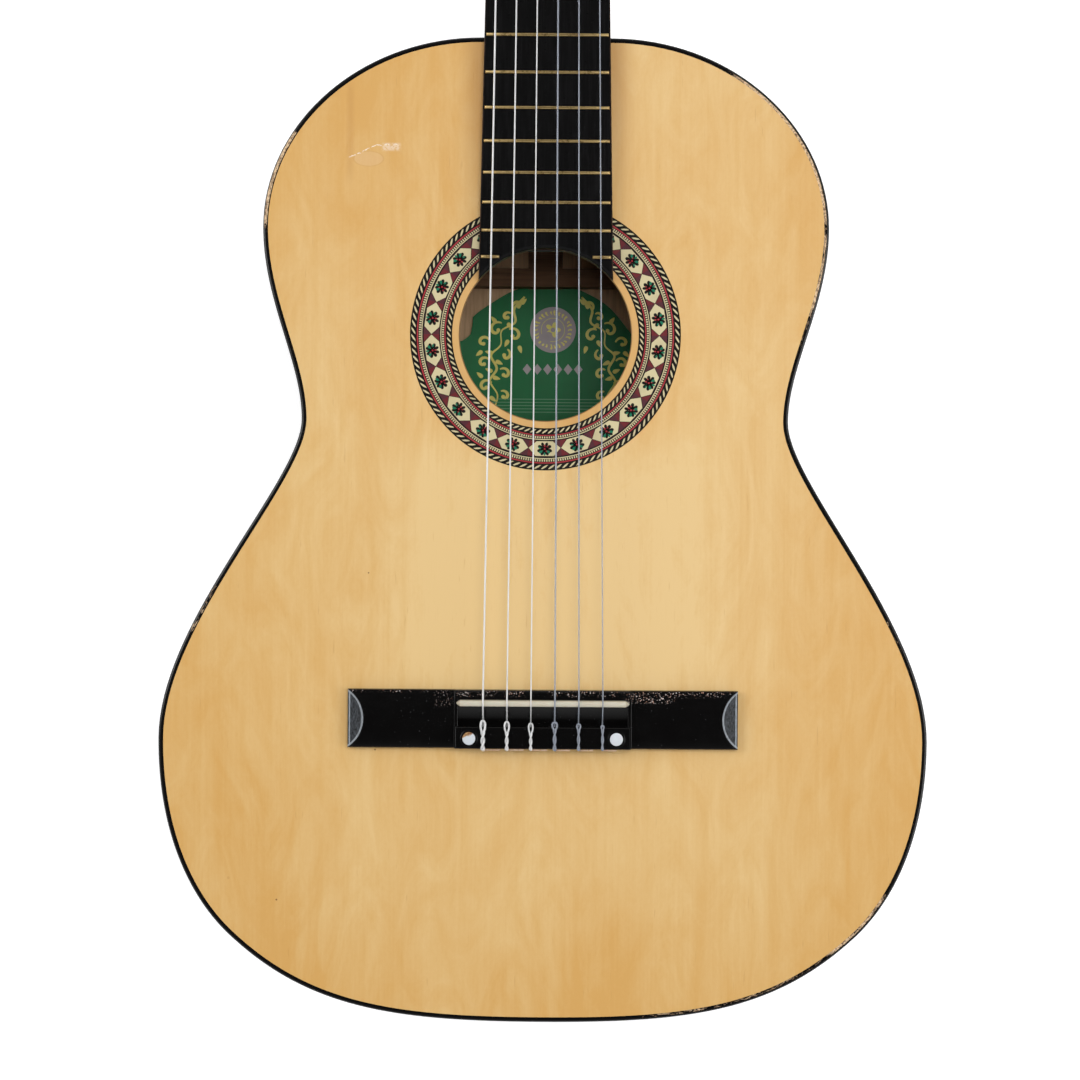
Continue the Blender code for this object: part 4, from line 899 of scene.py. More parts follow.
@dataclass
class Body:
    """The sound box: soundboard, back, ribs and bindings on one smooth plan.

    The plan's knots are (half width, station from the tail) in millimetres, as in the frame.
    """

    heel: tuple[float, float] = (32.0, 481.5)
    upper: tuple[float, float] = (138.5, 388.5)
    waist: tuple[float, float] = (119.0, 294.0)
    lower: tuple[float, float] = (188.0, 138.0)
    corner: tuple[float, float] = (153.0, 42.0)
    corner_slope: float = math.radians(43)
    steps: int = 34
    plate: float = 2.5 * MM
    rib: float = 2.0 * MM
    binding: float = 2.5 * MM
    binding_height: float = 5.0 * MM
    floor_clearance: float = 0.2 * MM

    def half_plan(self) -> np.ndarray:
        """The treble half from the heel's corner to the tail, in the frame."""
        (hx, hy), (ux, uy), (wx, wy), (lx, ly), (cx, cy) = self.heel, self.upper, self.waist, self.lower, self.corner
        across, down = math.cos(self.corner_slope), math.sin(self.corner_slope)
        n = self.steps
        parts = [
            bezier([(hx, hy), (hx + 59.0, hy), (ux, uy + 50.5), (ux, uy)], n),
            bezier([(ux, uy), (ux, uy - 36.5), (wx, wy + 28.0), (wx, wy)], n),
            bezier([(wx, wy), (wx, wy - 29.5), (lx, ly + 56.5), (lx, ly)], n),
            bezier([(lx, ly), (lx, ly - 46.5), (cx + 26.0 * across, cy + 26.0 * down), (cx, cy)], n),
            bezier([(cx, cy), (cx - 53.0 * across, cy - 53.0 * down), (72.5, 0.0), (0.0, 0.0)], n),
            np.array([[0.0, 0.0]]),
        ]
        return np.concatenate(parts) + (0.0, TAIL_Y)

    def plan(self) -> np.ndarray:
        """The whole closed plan, clockwise from the heel's treble corner, first point not repeated."""
        half = self.half_plan()
        return np.concatenate([half, half[-2::-1] * (-1, 1)])

    @staticmethod
    def inset(curve: np.ndarray, distance: np.ndarray, closed: bool = True) -> np.ndarray:
        """The curve moved inwards: each point goes along the inward normal of its neighbours' chord.

        Args:
            curve: (count, 2) clockwise points.
            distance: how far, one number for each row wanted.
            closed: whether the curve is closed.
        Returns:
            (rows, count, 2) points.
        """
        along = np.roll(curve, -1, 0) - np.roll(curve, 1, 0) if closed else np.gradient(curve, axis=0)
        along = along / np.linalg.norm(along, axis=1, keepdims=True)
        inward = np.stack([along[:, 1], -along[:, 0]], axis=1)
        return curve + inward * np.asarray(distance, float)[:, None, None]

    def hoop(self, curve: np.ndarray, section: Sequence[tuple[float, float]], finish: int = 0) -> Patch:
        """A section of (inset, height) in metres carried round the closed plan."""
        rows = np.array([*section, section[0]], float)
        flat = self.inset(curve, rows[:, 0])
        flat = np.concatenate([flat, flat[:, :1]], axis=1)
        points = np.concatenate([flat, np.broadcast_to(rows[:, 1, None, None], (*flat.shape[:2], 1))], axis=-1)
        along = np.concatenate([[0.0], np.cumsum(np.linalg.norm(np.diff(flat[0], axis=0), axis=1))])
        across = np.concatenate([[0.0], np.cumsum(np.linalg.norm(np.diff(rows, axis=0), axis=1))])
        return Patch(points, np.stack(np.broadcast_arrays(along[None, :], across[:, None]), -1), finish)

    def build_soundboard(self) -> None:
        """Flat plate from the soundhole's circle to the bindings' bed: each point of the outline is
        joined to the point of the circle in the same direction from the hole's middle."""
        edge = self.inset(self.plan(), [self.binding + 0.05 * MM])[0]
        ray = edge - (0.0, HOLE_Y)
        ray = ray / np.linalg.norm(ray, axis=1, keepdims=True)
        hole = ray * HOLE_RADIUS + (0.0, HOLE_Y)
        eased = ray * (HOLE_RADIUS + 0.35 * MM) + (0.0, HOLE_Y)
        low, high = TOP_Z - self.plate, TOP_Z
        rows = ((eased, high), (edge, high), (edge, low), (hole, low), (hole, high - 0.35 * MM), (eased, high))
        grid = np.stack([np.column_stack([row, np.full(len(row), z)]) for row, z in rows])
        grid = np.concatenate([grid, grid[:, :1]], axis=1)
        patches = [Patch(grid[:2]), Patch(grid[1:4], finish=1), Patch(grid[3:], finish=0)]
        add_piece("soundboard_plate", patches, [SPRUCE, INNER_WOOD],
                  Looks("spruce_top", replaces=("soundboard",), smooth=30.0))

    def build_back(self) -> None:
        """Flat back: black outside, bare wood inside, each side a fan from the middle of the plan."""
        edge = self.inset(self.plan(), [self.binding + 0.05 * MM])[0]
        low, high = 0.0, self.plate
        ring = np.column_stack([edge, np.full(len(edge), low)])
        lid = ring + (0.0, 0.0, high - low)
        wall = np.stack([ring, lid])
        patches = [fan(ring), fan(lid, finish=1), Patch(np.concatenate([wall, wall[:, :1]], axis=1))]
        add_piece("back_plate", patches, [LACQUER, INNER_WOOD],
                  Looks("black_lacquer", replaces=("back_panel",), smooth=30.0))

    def build_ribs(self) -> None:
        """Two bent ribs that meet at the heel and the tail: lacquer outside, bare wood inside."""
        low = self.floor_clearance + self.binding_height
        high = TOP_Z - self.binding_height
        half = self.half_plan()
        half = np.concatenate([[(0.05 * MM, half[0, 1])], half[:-1], [(0.05 * MM, half[-1, 1])]])
        outer, inner = self.inset(half, [0.0, self.rib], closed=False)
        rows = ((outer, low), (outer, high), (inner, high), (inner, low), (outer, low))
        grid = np.stack([np.column_stack([row, np.full(len(row), z)]) for row, z in rows])
        for name, node, way in (("treble_rib", "treble_side", 1), ("bass_rib", "bass_side", -1)):
            side = grid * (way, 1, 1)
            ends = [Patch(np.stack([side[:2, k], side[:1:-1, k][1:3]])) for k in (0, -1)]
            patches = [Patch(side[:2]), Patch(side[1:3]), Patch(side[2:4], finish=1), Patch(side[3:]), *ends]
            add_piece(name, patches, [LACQUER, INNER_WOOD], Looks("black_lacquer", replaces=(node,), smooth=35.0))

    def build_bindings(self) -> None:
        """Edge bindings: a strip of rectangular section whose outer corner is a quarter round."""
        turn = np.linspace(0, math.pi / 2, 6)
        corner = 1.3 * MM
        round_in = corner * (1 - np.cos(turn))
        round_up = corner * np.sin(turn)
        width, height = self.binding, self.binding_height
        for name, node, base, up in (("top_edge", "top_binding", TOP_Z - height, 1),
                                     ("back_edge", "back_binding", self.floor_clearance + height, -1)):
            rows = [(width, 0.0), (0.0, 0.0)]
            rows += [(float(a), height - corner + float(b)) for a, b in zip(round_in, round_up)]
            rows += [(width, height)]
            section = [(a, base + up * b) for a, b in rows]
            add_piece(name, [self.hoop(self.plan(), section)], [EDGE],
                      Looks("black_lacquer", replaces=(node,), smooth=50.0))

    def build(self) -> None:
        """Builds the whole box and finishes the frame's blocks, linings and braces."""
        self.build_soundboard()
        self.build_back()
        self.build_ribs()
        self.build_bindings()
        dress(BRACE_WOOD, "upper_brace", "lower_brace", "back_bracing", "neck_block", "tail_block")
        dress(INNER_WOOD, "fan_bracing", "top_lining", "back_lining")


# ---------------------------------------------------------------- rosette

INK = (0.0055, 0.0050, 0.0050)
IVORY = (0.640, 0.560, 0.325)
PLUM = (0.085, 0.022, 0.030)
CRIMSON = (0.150, 0.016, 0.022)
RED = (0.420, 0.030, 0.042)
LEAF_GREEN = (0.006, 0.180, 0.095)


@dataclass
class Rosette:
    """Inlaid ring round the soundhole: ropes, ticks and lines on both sides of a band of 22 flowers.

    Radii are in millimetres, outermost first. Each layer lies a hair above the one before.
    """

    outer: float = 66.2
    inner: float = 45.6
    cells: int = 22
    band_middle: float = 55.7
    band_half: float = 3.8
    layer: float = 0.006

    def spot(self, angle: np.ndarray, radius: np.ndarray, level: int) -> np.ndarray:
        """Points at an angle from straight down the string line and a radius, on a layer."""
        z = np.full(np.broadcast(angle, radius).shape, TOP_Z + (0.02 + self.layer * level) * MM)
        return np.stack([radius * np.sin(angle) * MM, HOLE_Y - radius * np.cos(angle) * MM, z], axis=-1)

    def ring(self, outer: float, inner: float, tint: Colour, level: int) -> Patch:
        """A plain ring between two radii."""
        angle = np.linspace(0, TAU, 361)[None, :]
        return Patch(self.spot(angle, np.array([[outer], [inner]]), level), tint=tint)

    def tiles(self, shape: Sequence[tuple[float, float]], radius: float, count: int, tint: Colour, level: int,
              shift: float = 0.0) -> Patch:
        """One flat shape repeated round the ring.

        Args:
            shape: its outline as (along the ring, outwards) in millimetres from its own middle.
            radius: the radius of that middle.
            count: how many round the whole ring.
            tint: its colour.
            level: its layer.
            shift: how far the first is from straight down, as a share of the spacing.
        Returns:
            All the tiles as one patch.
        """
        outline = np.asarray(shape, float)
        turn = (np.arange(count)[:, None] + shift) * TAU / count
        return fan(self.spot(turn + outline[:, 0] / radius, radius + outline[:, 1] + 0 * turn, level), tint=tint)

    @staticmethod
    def lobe(turn: float, near: float, far: float, half: float) -> np.ndarray:
        """A petal's outline: an egg from near to far along its own direction, widest past the middle."""
        angle = np.linspace(0, TAU, 12, endpoint=False)
        along = (near + far) / 2 + (far - near) / 2 * np.cos(angle)
        aside = half * np.sin(angle) * (1 + 0.25 * np.cos(angle))
        return np.stack([along * math.cos(turn) - aside * math.sin(turn),
                         along * math.sin(turn) + aside * math.cos(turn)], axis=1)

    def flower(self) -> list[Patch]:
        """Black petals in two fans joined by a stem, green leaves between them and red beads."""
        rows = [(0.32, 0.9, 3.75, 0.80), (1.08, 0.6, 3.50, 0.74), (2.06, 0.6, 3.50, 0.74), (2.82, 0.9, 3.75, 0.80),
                (3.55, 0.9, 3.65, 0.82), (4.28, 0.6, 3.45, 0.74), (5.14, 0.6, 3.45, 0.74), (5.87, 0.9, 3.65, 0.82),
                (1.57, -1.9, 2.10, 0.75), (0.0, -1.9, 1.9, 0.85)]
        leaves = [(0.68, 1.2, 3.3, 0.56), (2.46, 1.2, 3.3, 0.56), (1.57, 1.6, 3.3, 0.44), (3.35, 1.6, 3.1, 0.40)]
        beads = [(1.57, -0.5, 0.45, 0.45), (0.95, 1.0, 1.7, 0.30), (4.71, 0.9, 2.0, 0.36), (5.6, 1.4, 2.2, 0.26)]
        patches = []
        for rows_of, tint, level in ((rows, INK, 5), (leaves, LEAF_GREEN, 6), (beads, RED, 7)):
            for row in rows_of:
                patches.append(self.tiles(self.lobe(*row), self.band_middle, self.cells, tint, level))
        return patches

    def flower_band(self) -> list[Patch]:
        """Cream hexagons with a dark flower each, and two-coloured triangles between them."""
        pitch = TAU * self.band_middle / self.cells
        half = pitch / 2
        tall = self.band_half
        hexagon = [(-half + 0.15, 0), (-half * 0.53, tall - 0.2), (half * 0.53, tall - 0.2), (half - 0.15, 0),
                   (half * 0.53, 0.2 - tall), (-half * 0.53, 0.2 - tall)]
        line = [(s * 1.035, t * 1.06) for s, t in hexagon]
        patches = [self.ring(59.5, 51.9, PLUM, 1)]
        for way in (-1, 1):
            for side, tint in ((0.0, CRIMSON), (-half * 0.46, PLUM)):
                triangle = [(side, way * 0.3), (side, way * tall), (side + half * 0.46, way * tall)]
                patches.append(self.tiles(triangle, self.band_middle, self.cells, tint, 2, shift=0.5))
        patches.append(self.tiles(line, self.band_middle, self.cells, INK, 3))
        patches.append(self.tiles(hexagon, self.band_middle, self.cells, IVORY, 4))
        patches += self.flower()
        return patches

    def build(self) -> None:
        """Builds the inlay as one piece of layered tiles."""
        patches = [self.ring(self.outer, self.inner, INK, 0)]
        slash = np.array([(1.85, -1.0), (0.85, -0.94), (-0.50, -0.22), (-1.85, 1.0), (-0.85, 0.94), (0.50, 0.22)])
        tick = np.array([(-0.30, -0.55), (0.30, -0.55), (0.30, 0.55), (-0.30, 0.55)])
        patches.append(self.tiles(slash, 64.55, 118, IVORY, 2))
        patches.append(self.ring(62.85, 62.25, RED, 1))
        patches.append(self.tiles(tick, 61.35, 340, IVORY, 2))
        for outer, inner in ((60.62, 60.2), (51.3, 50.9)):
            patches.append(self.ring(outer, inner, IVORY, 1))
        patches += self.flower_band()
        patches.append(self.tiles(tick * (1, 0.85), 50.1, 280, IVORY, 2))
        patches.append(self.ring(49.35, 48.85, RED, 1))
        patches.append(self.tiles(slash * (0.82, 0.92), 47.2, 104, IVORY, 2))
        add_piece("rosette_inlay", patches, [INLAY],
                  Looks("rosette_inlay", replaces=("rosette",), smooth=30.0, sheet=True))


# ---------------------------------------------------------------- bridge

@dataclass
class Bridge:
    """Tie-block bridge: ramp, front ledge and tie block between two wings with scooped ends.

    Sizes are millimetres from the bridge's own middle and from its underside.
    """

    half_length: float = 95.0
    half_width: float = 14.25
    core_half: float = 43.0
    block_height: float = 8.8
    block_face: float = -3.5
    wing_edge: float = 4.2
    wing_crown: float = 5.7
    scoop_chord: float = 26.0
    scoop_depth: float = 6.5
    saddle_offset: float = 8.0
    saddle_half: float = 42.0
    bolt_x: float = 35.8
    bolt_offset: float = -9.2

    def at(self, x: np.ndarray, y: np.ndarray, z: np.ndarray) -> np.ndarray:
        """Points from the bridge's own millimetres."""
        x, y, z = np.broadcast_arrays(x, y, z)
        return np.stack([x * MM, BRIDGE_Y + y * MM, TOP_Z + GAP + z * MM], axis=-1)

    def bar(self, profile: Sequence[tuple[float, float]], low: float, high: float) -> list[Patch]:
        """A profile of (y, z) carried along the bridge from low to high."""
        rows = np.asarray(profile, float)
        x = np.array([low, high])[:, None]
        return loft(self.at(x, rows[None, :, 0], rows[None, :, 1]))

    def scoop(self, x: np.ndarray, y: np.ndarray) -> np.ndarray:
        """How far inside the scooped end a point is: the scoop is a circle's segment whose chord lies
        along the wing's end and whose arc reaches scoop_depth in from it."""
        radius = (self.scoop_chord ** 2 / 4 + self.scoop_depth ** 2) / (2 * self.scoop_depth)
        centre = self.half_length - 0.8 - self.scoop_depth + radius
        return radius - np.hypot(np.abs(x) - centre, y)

    def wing(self, way: int) -> list[Patch]:
        """A wing as a height field: a low crown across it, less a bowl in the scooped end, with walls."""
        x = np.concatenate([np.linspace(self.core_half - 0.4, 84.0, 24), np.linspace(84.4, self.half_length, 44)])
        y = np.linspace(-self.half_width, self.half_width, 73)
        gx, gy = np.meshgrid(x, y, indexing="ij")
        crown = self.wing_crown - (self.wing_crown - self.wing_edge) * np.abs(gy / self.half_width) ** 2.6
        inside = self.scoop(gx, gy)
        cut = np.where(inside > 0, 0.35 + 1.15 * np.clip(inside / self.scoop_depth, 0, 1) ** 0.8, 0.0)
        rim = 0.18 * np.exp(-((inside + 0.35) / 0.35) ** 2)
        z = crown - cut + rim
        border = np.minimum(self.half_length - gx, self.half_width - np.abs(gy))
        z -= 0.45 * np.clip(1 - border / 0.5, 0, 1) ** 2
        top = self.at(way * gx, gy, z)
        floor = self.at(way * gx, gy, 0 * z)
        edges = [np.stack([top[0], floor[0]]), np.stack([top[-1], floor[-1]]),
                 np.stack([top[:, 0], floor[:, 0]]), np.stack([top[:, -1], floor[:, -1]])]
        return [Patch(top), Patch(floor), *map(Patch, edges)]

    def build_core(self) -> None:
        """Ramp behind the saddle, ledge in front of it, tie block, and the ribs beside them."""
        half, core = self.half_width, self.core_half
        slot = 1.55
        rear, front = self.saddle_offset - slot, self.saddle_offset + slot
        ramp = [(self.block_face - 0.5, 0), (rear, 0), (rear, 6.5), (-1.5, 2.6), (self.block_face - 0.5, 2.6)]
        ledge = [(front, 0), (half, 0), (half, 5.9), (half - 0.8, 6.7), (front, 7.0)]
        sole = [(rear - 0.5, 0), (front + 0.5, 0), (front + 0.5, 2.5), (rear - 0.5, 2.5)]
        looks = Looks("black_lacquer", bevel=0.3 * MM, smooth=28.0)
        first = Looks("black_lacquer", replaces=("bridge",), bevel=0.3 * MM, smooth=28.0)
        add_piece("bridge_ramp", self.bar(ramp, -core, core), [BRIDGE_BLACK], first)
        add_piece("bridge_ledge", self.bar(ledge, -core, core), [BRIDGE_BLACK], looks)
        add_piece("bridge_sole", self.bar(sole, -core + 0.2, core - 0.2), [BRIDGE_BLACK], looks)
        block = [(-half, 0), (self.block_face, 0), (self.block_face, self.block_height), (-half, self.block_height)]
        add_piece("tie_block", self.bar(block, -core, core), [BRIDGE_BLACK],
                  Looks("black_lacquer", bevel=0.7 * MM, bevel_steps=3, smooth=28.0))
        for way, word in ((-1, "bass"), (1, "treble")):
            x = np.array([core - 1.7, core + 0.1]) * way
            slope = [(self.block_face - 0.2, 0), (half - 0.1, 0), (half - 0.1, 6.2), (9.6, 7.15), (6.4, 7.15),
                     (self.block_face - 0.2, 7.4)]
            add_piece(f"bridge_rib_{word}", self.bar(slope, float(x.min()), float(x.max())), [BRIDGE_BLACK], looks)
            lip = [(-half + 0.1, 0), (self.block_face, 0), (self.block_face, 9.0), (-half + 0.8, 9.0),
                   (-half + 0.1, 8.2)]
            add_piece(f"block_lip_{word}", self.bar(lip, *sorted(((core - 0.9) * way, (core + 0.15) * way))),
                      [BRIDGE_BLACK], looks)

    def build_wings(self) -> None:
        """Both wings, each with a greyish scooped end."""
        for way, word in ((-1, "bass"), (1, "treble")):
            add_piece(f"bridge_wing_{word}", self.wing(way), [BRIDGE_BLACK], Looks("black_lacquer", smooth=32.0))

    def build_saddle(self) -> None:
        """Bone strip with a rounded top, its ends tapering to points."""
        x = np.array([-1, -0.985, -0.955, 0.955, 0.985, 1.0]) * self.saddle_half
        swell = np.array([0.12, 0.55, 1.0, 1.0, 0.55, 0.12])
        angle = np.linspace(0, math.pi, 13)
        section = np.concatenate([[(1.0, 2.8)], np.stack([np.cos(angle), 11.1 + 0.9 * np.sin(angle)], 1),
                                  [(-1.0, 2.8)]])
        y = self.saddle_offset + 1.45 * section[None, :, 0] * swell[:, None]
        drop = (1 - swell[:, None]) * 3.2 * (section[None, :, 1] > 5)
        add_piece("saddle_strip", loft(self.at(x[:, None], y, section[None, :, 1] - drop)), [CREAM],
                  Looks("cream_plastic", replaces=("saddle",)))

    def build_caps(self) -> None:
        """Two turned caps with a soft edge over the bolts, each in a dark ring; one is chipped."""
        for way, word in ((-1, "bass"), (1, "treble")):
            middle = at(way * self.bolt_x * MM, BRIDGE_Y + self.bolt_offset * MM, TOP_Z + GAP)
            profile = [(7.4, 3.0), (7.4, 3.3), (8.55, 3.3), (8.85, 3.1), (8.98, 2.6), (9.02, 1.3), (9.03, 0.02)]
            finish = CHIPPED_CAP if way < 0 else WHITE
            add_piece(f"cap_{word}", turned(profile, middle, 40), [finish],
                      Looks("white_plastic", replaces=(f"bolt_cap_{word}",)))
            seat = [(8.6, 3.35), (8.9, 3.42), (8.92, 4.0), (8.75, 4.3), (8.5, 4.3), (8.5, 3.35)]
            rows = np.array(seat) * MM
            angle = np.linspace(0, TAU, 41)[:-1]
            ring = middle(rows[:, 1:] * np.cos(angle), rows[:, 1:] * np.sin(angle), rows[:, :1] + 0 * angle)
            add_piece(f"cap_seat_{word}", loft(ring, capped=False), [BRIDGE_BLACK], Looks("black_lacquer"))

    def build(self) -> None:
        """Builds the bridge and finishes its bolts."""
        self.build_core()
        self.build_wings()
        self.build_saddle()
        self.build_caps()
        dress(STEEL, "bridge_bolt_bass", "bridge_bolt_treble")


@dataclass(frozen=True)
class BridgeFinish(Finish):
    """Gloss black over wood, rubbed along the front edge into bright flecks, dull in the scooped ends, with a painted
    highlight along the scoops' rims.
    """

    black: Colour = (0.0022, 0.0020, 0.0020)

    def paint(self, bench: Bench) -> None:
        """Sets colour, gloss and relief."""
        x, y, z = bench.place()
        at_point = bench.point(x, y, z)
        from_middle = y - BRIDGE_Y / MM
        grit = bench.noise(at_point, 0.85, 3.0, 0.8)
        flecks = bench.specks(at_point, 1.15, 0.42).at_least(bench.specks(at_point, 0.8, 0.22))
        patch = bench.noise(bench.point(x, y * 2.0, z), 0.13, 3.0, 0.7)
        front = from_middle.hump(13.3, 0.35, 0.5) * patch.rise(0.44, 0.60) * 0.8
        ledge = from_middle.hump(12.0, 0.5, 0.8) * x.size().rise(44.0, 42.0) * patch.rise(0.48, 0.58)
        right = x.hump(52.0, 6.5, 7.0) * from_middle.hump(10.6, 1.4, 1.6)
        far = x.hump(70.0, 12.0, 9.0) * from_middle.hump(12.2, 0.7, 1.0) * 0.7
        left = x.hump(-48.5, 3.0, 3.0) * from_middle.hump(9.4, 2.0, 2.2) * 0.45
        wear = (front + ledge * 0.7 + right + far * 0.6 + left * 0.4).at_most(1.0) * flecks * grit.rise(0.44, 0.56)
        radius = (26.0 ** 2 / 4 + 6.5 ** 2) / 13.0
        centre = 95.0 - 0.8 - 6.5 + radius
        away = (x.size() - centre).calc("POWER", 2.0) + from_middle.calc("POWER", 2.0)
        inside = radius - away.calc("SQRT")
        bowl = inside.rise(-0.1, 0.35)
        # Painted highlight: a light bluish grey line along each scoop's rim and along the wing's end edge inside it,
        # broken up by the scratch pattern.
        rim = inside.hump(0.05, 0.22, 0.35) + (x.size().hump(94.1, 0.1, 0.35) * bowl)
        scratch = bench.noise(bench.point(x * 2.0, y * 0.5, z), 1.0, 4.0, 0.75)
        colour = bench.mix(self.black, (0.085, 0.095, 0.108), bowl * scratch.rise(0.34, 0.74))
        colour = bench.mix(colour, (0.42, 0.46, 0.50), (rim * (scratch * 1.5)).at_most(0.85))
        fleck = bench.mix((0.55, 0.26, 0.16), (0.85, 0.80, 0.78), bench.noise(at_point, 1.3, 2.0).rise(0.4, 0.6))
        colour = bench.mix(colour, fleck, wear * 0.85)
        motes = bench.specks(at_point, 0.40, 0.07)
        colour = bench.mix(colour, (0.16, 0.16, 0.17), motes * 0.5)
        cloud = bench.noise(at_point, 0.07, 3.0, 0.6)
        bench.give(Base_Color=colour, Roughness=(cloud - 0.5) * 0.25 + 0.20 + bowl * 0.22 + wear * 0.2)
        bench.emboss(cloud + scratch * bowl * 0.6 - wear * 0.5, 0.10, 0.45)


@dataclass(frozen=True)
class ChippedCapFinish(Finish):
    """White cap with a brown chip at the edge nearest the saddle."""

    def paint(self, bench: Bench) -> None:
        """Sets colour, gloss and relief."""
        x, y, z = bench.place()
        grit = bench.noise(bench.point(x, y, z), 0.9, 3.0, 0.7)
        edge = (y - (BRIDGE_Y / MM - 9.2) + (grit - 0.5) * 3.0 - (x + 35.8) * 0.35).rise(1.2, 1.7)
        brown = bench.mix((0.20, 0.085, 0.025), (0.50, 0.30, 0.12), grit.rise(0.42, 0.6))
        bench.give(Base_Color=bench.mix((0.62, 0.66, 0.70), brown, edge), Roughness=edge * 0.3 + 0.22)
        bench.emboss(grit * 0.3 - edge, 0.15, 0.6)


BRIDGE_BLACK = BridgeFinish("bridge_black")
CHIPPED_CAP = ChippedCapFinish("chipped_cap")


# ---------------------------------------------------------------- neck side of the strings

def head_point(u: np.ndarray, v: np.ndarray, n: np.ndarray) -> np.ndarray:
    """Points on the head: u across, v along it from behind the nut, n out of its face."""
    u, v, n = np.broadcast_arrays(u, v, n)
    cos, sin = math.cos(HEAD_TILT), math.sin(HEAD_TILT)
    origin_y = NUT_Y + 5.0 * MM
    return np.stack([u, origin_y + v * cos + n * sin, TOP_Z - v * sin + n * cos], axis=-1)


@dataclass
class Machine:
    """Places of one tuning machine on the head, in metres."""

    number: int

    @property
    def side(self) -> int:
        """-1 for the thick strings, 1 for the thin ones."""
        return -1 if self.number > 3 else 1

    @property
    def order(self) -> int:
        """0 nearest the nut, 2 furthest."""
        return 6 - self.number if self.number > 3 else self.number - 1

    @property
    def station(self) -> float:
        """How far along the head its roller lies."""
        return (50.0 + 35.0 * self.order) * MM

    @property
    def across(self) -> float:
        """Where the string meets the roller."""
        return self.side * (18.0 - 3.0 * self.order) * MM


class StringKind(Enum):
    """How a string is made."""

    WOUND = "wound_string"
    CLEAR = "clear_nylon"


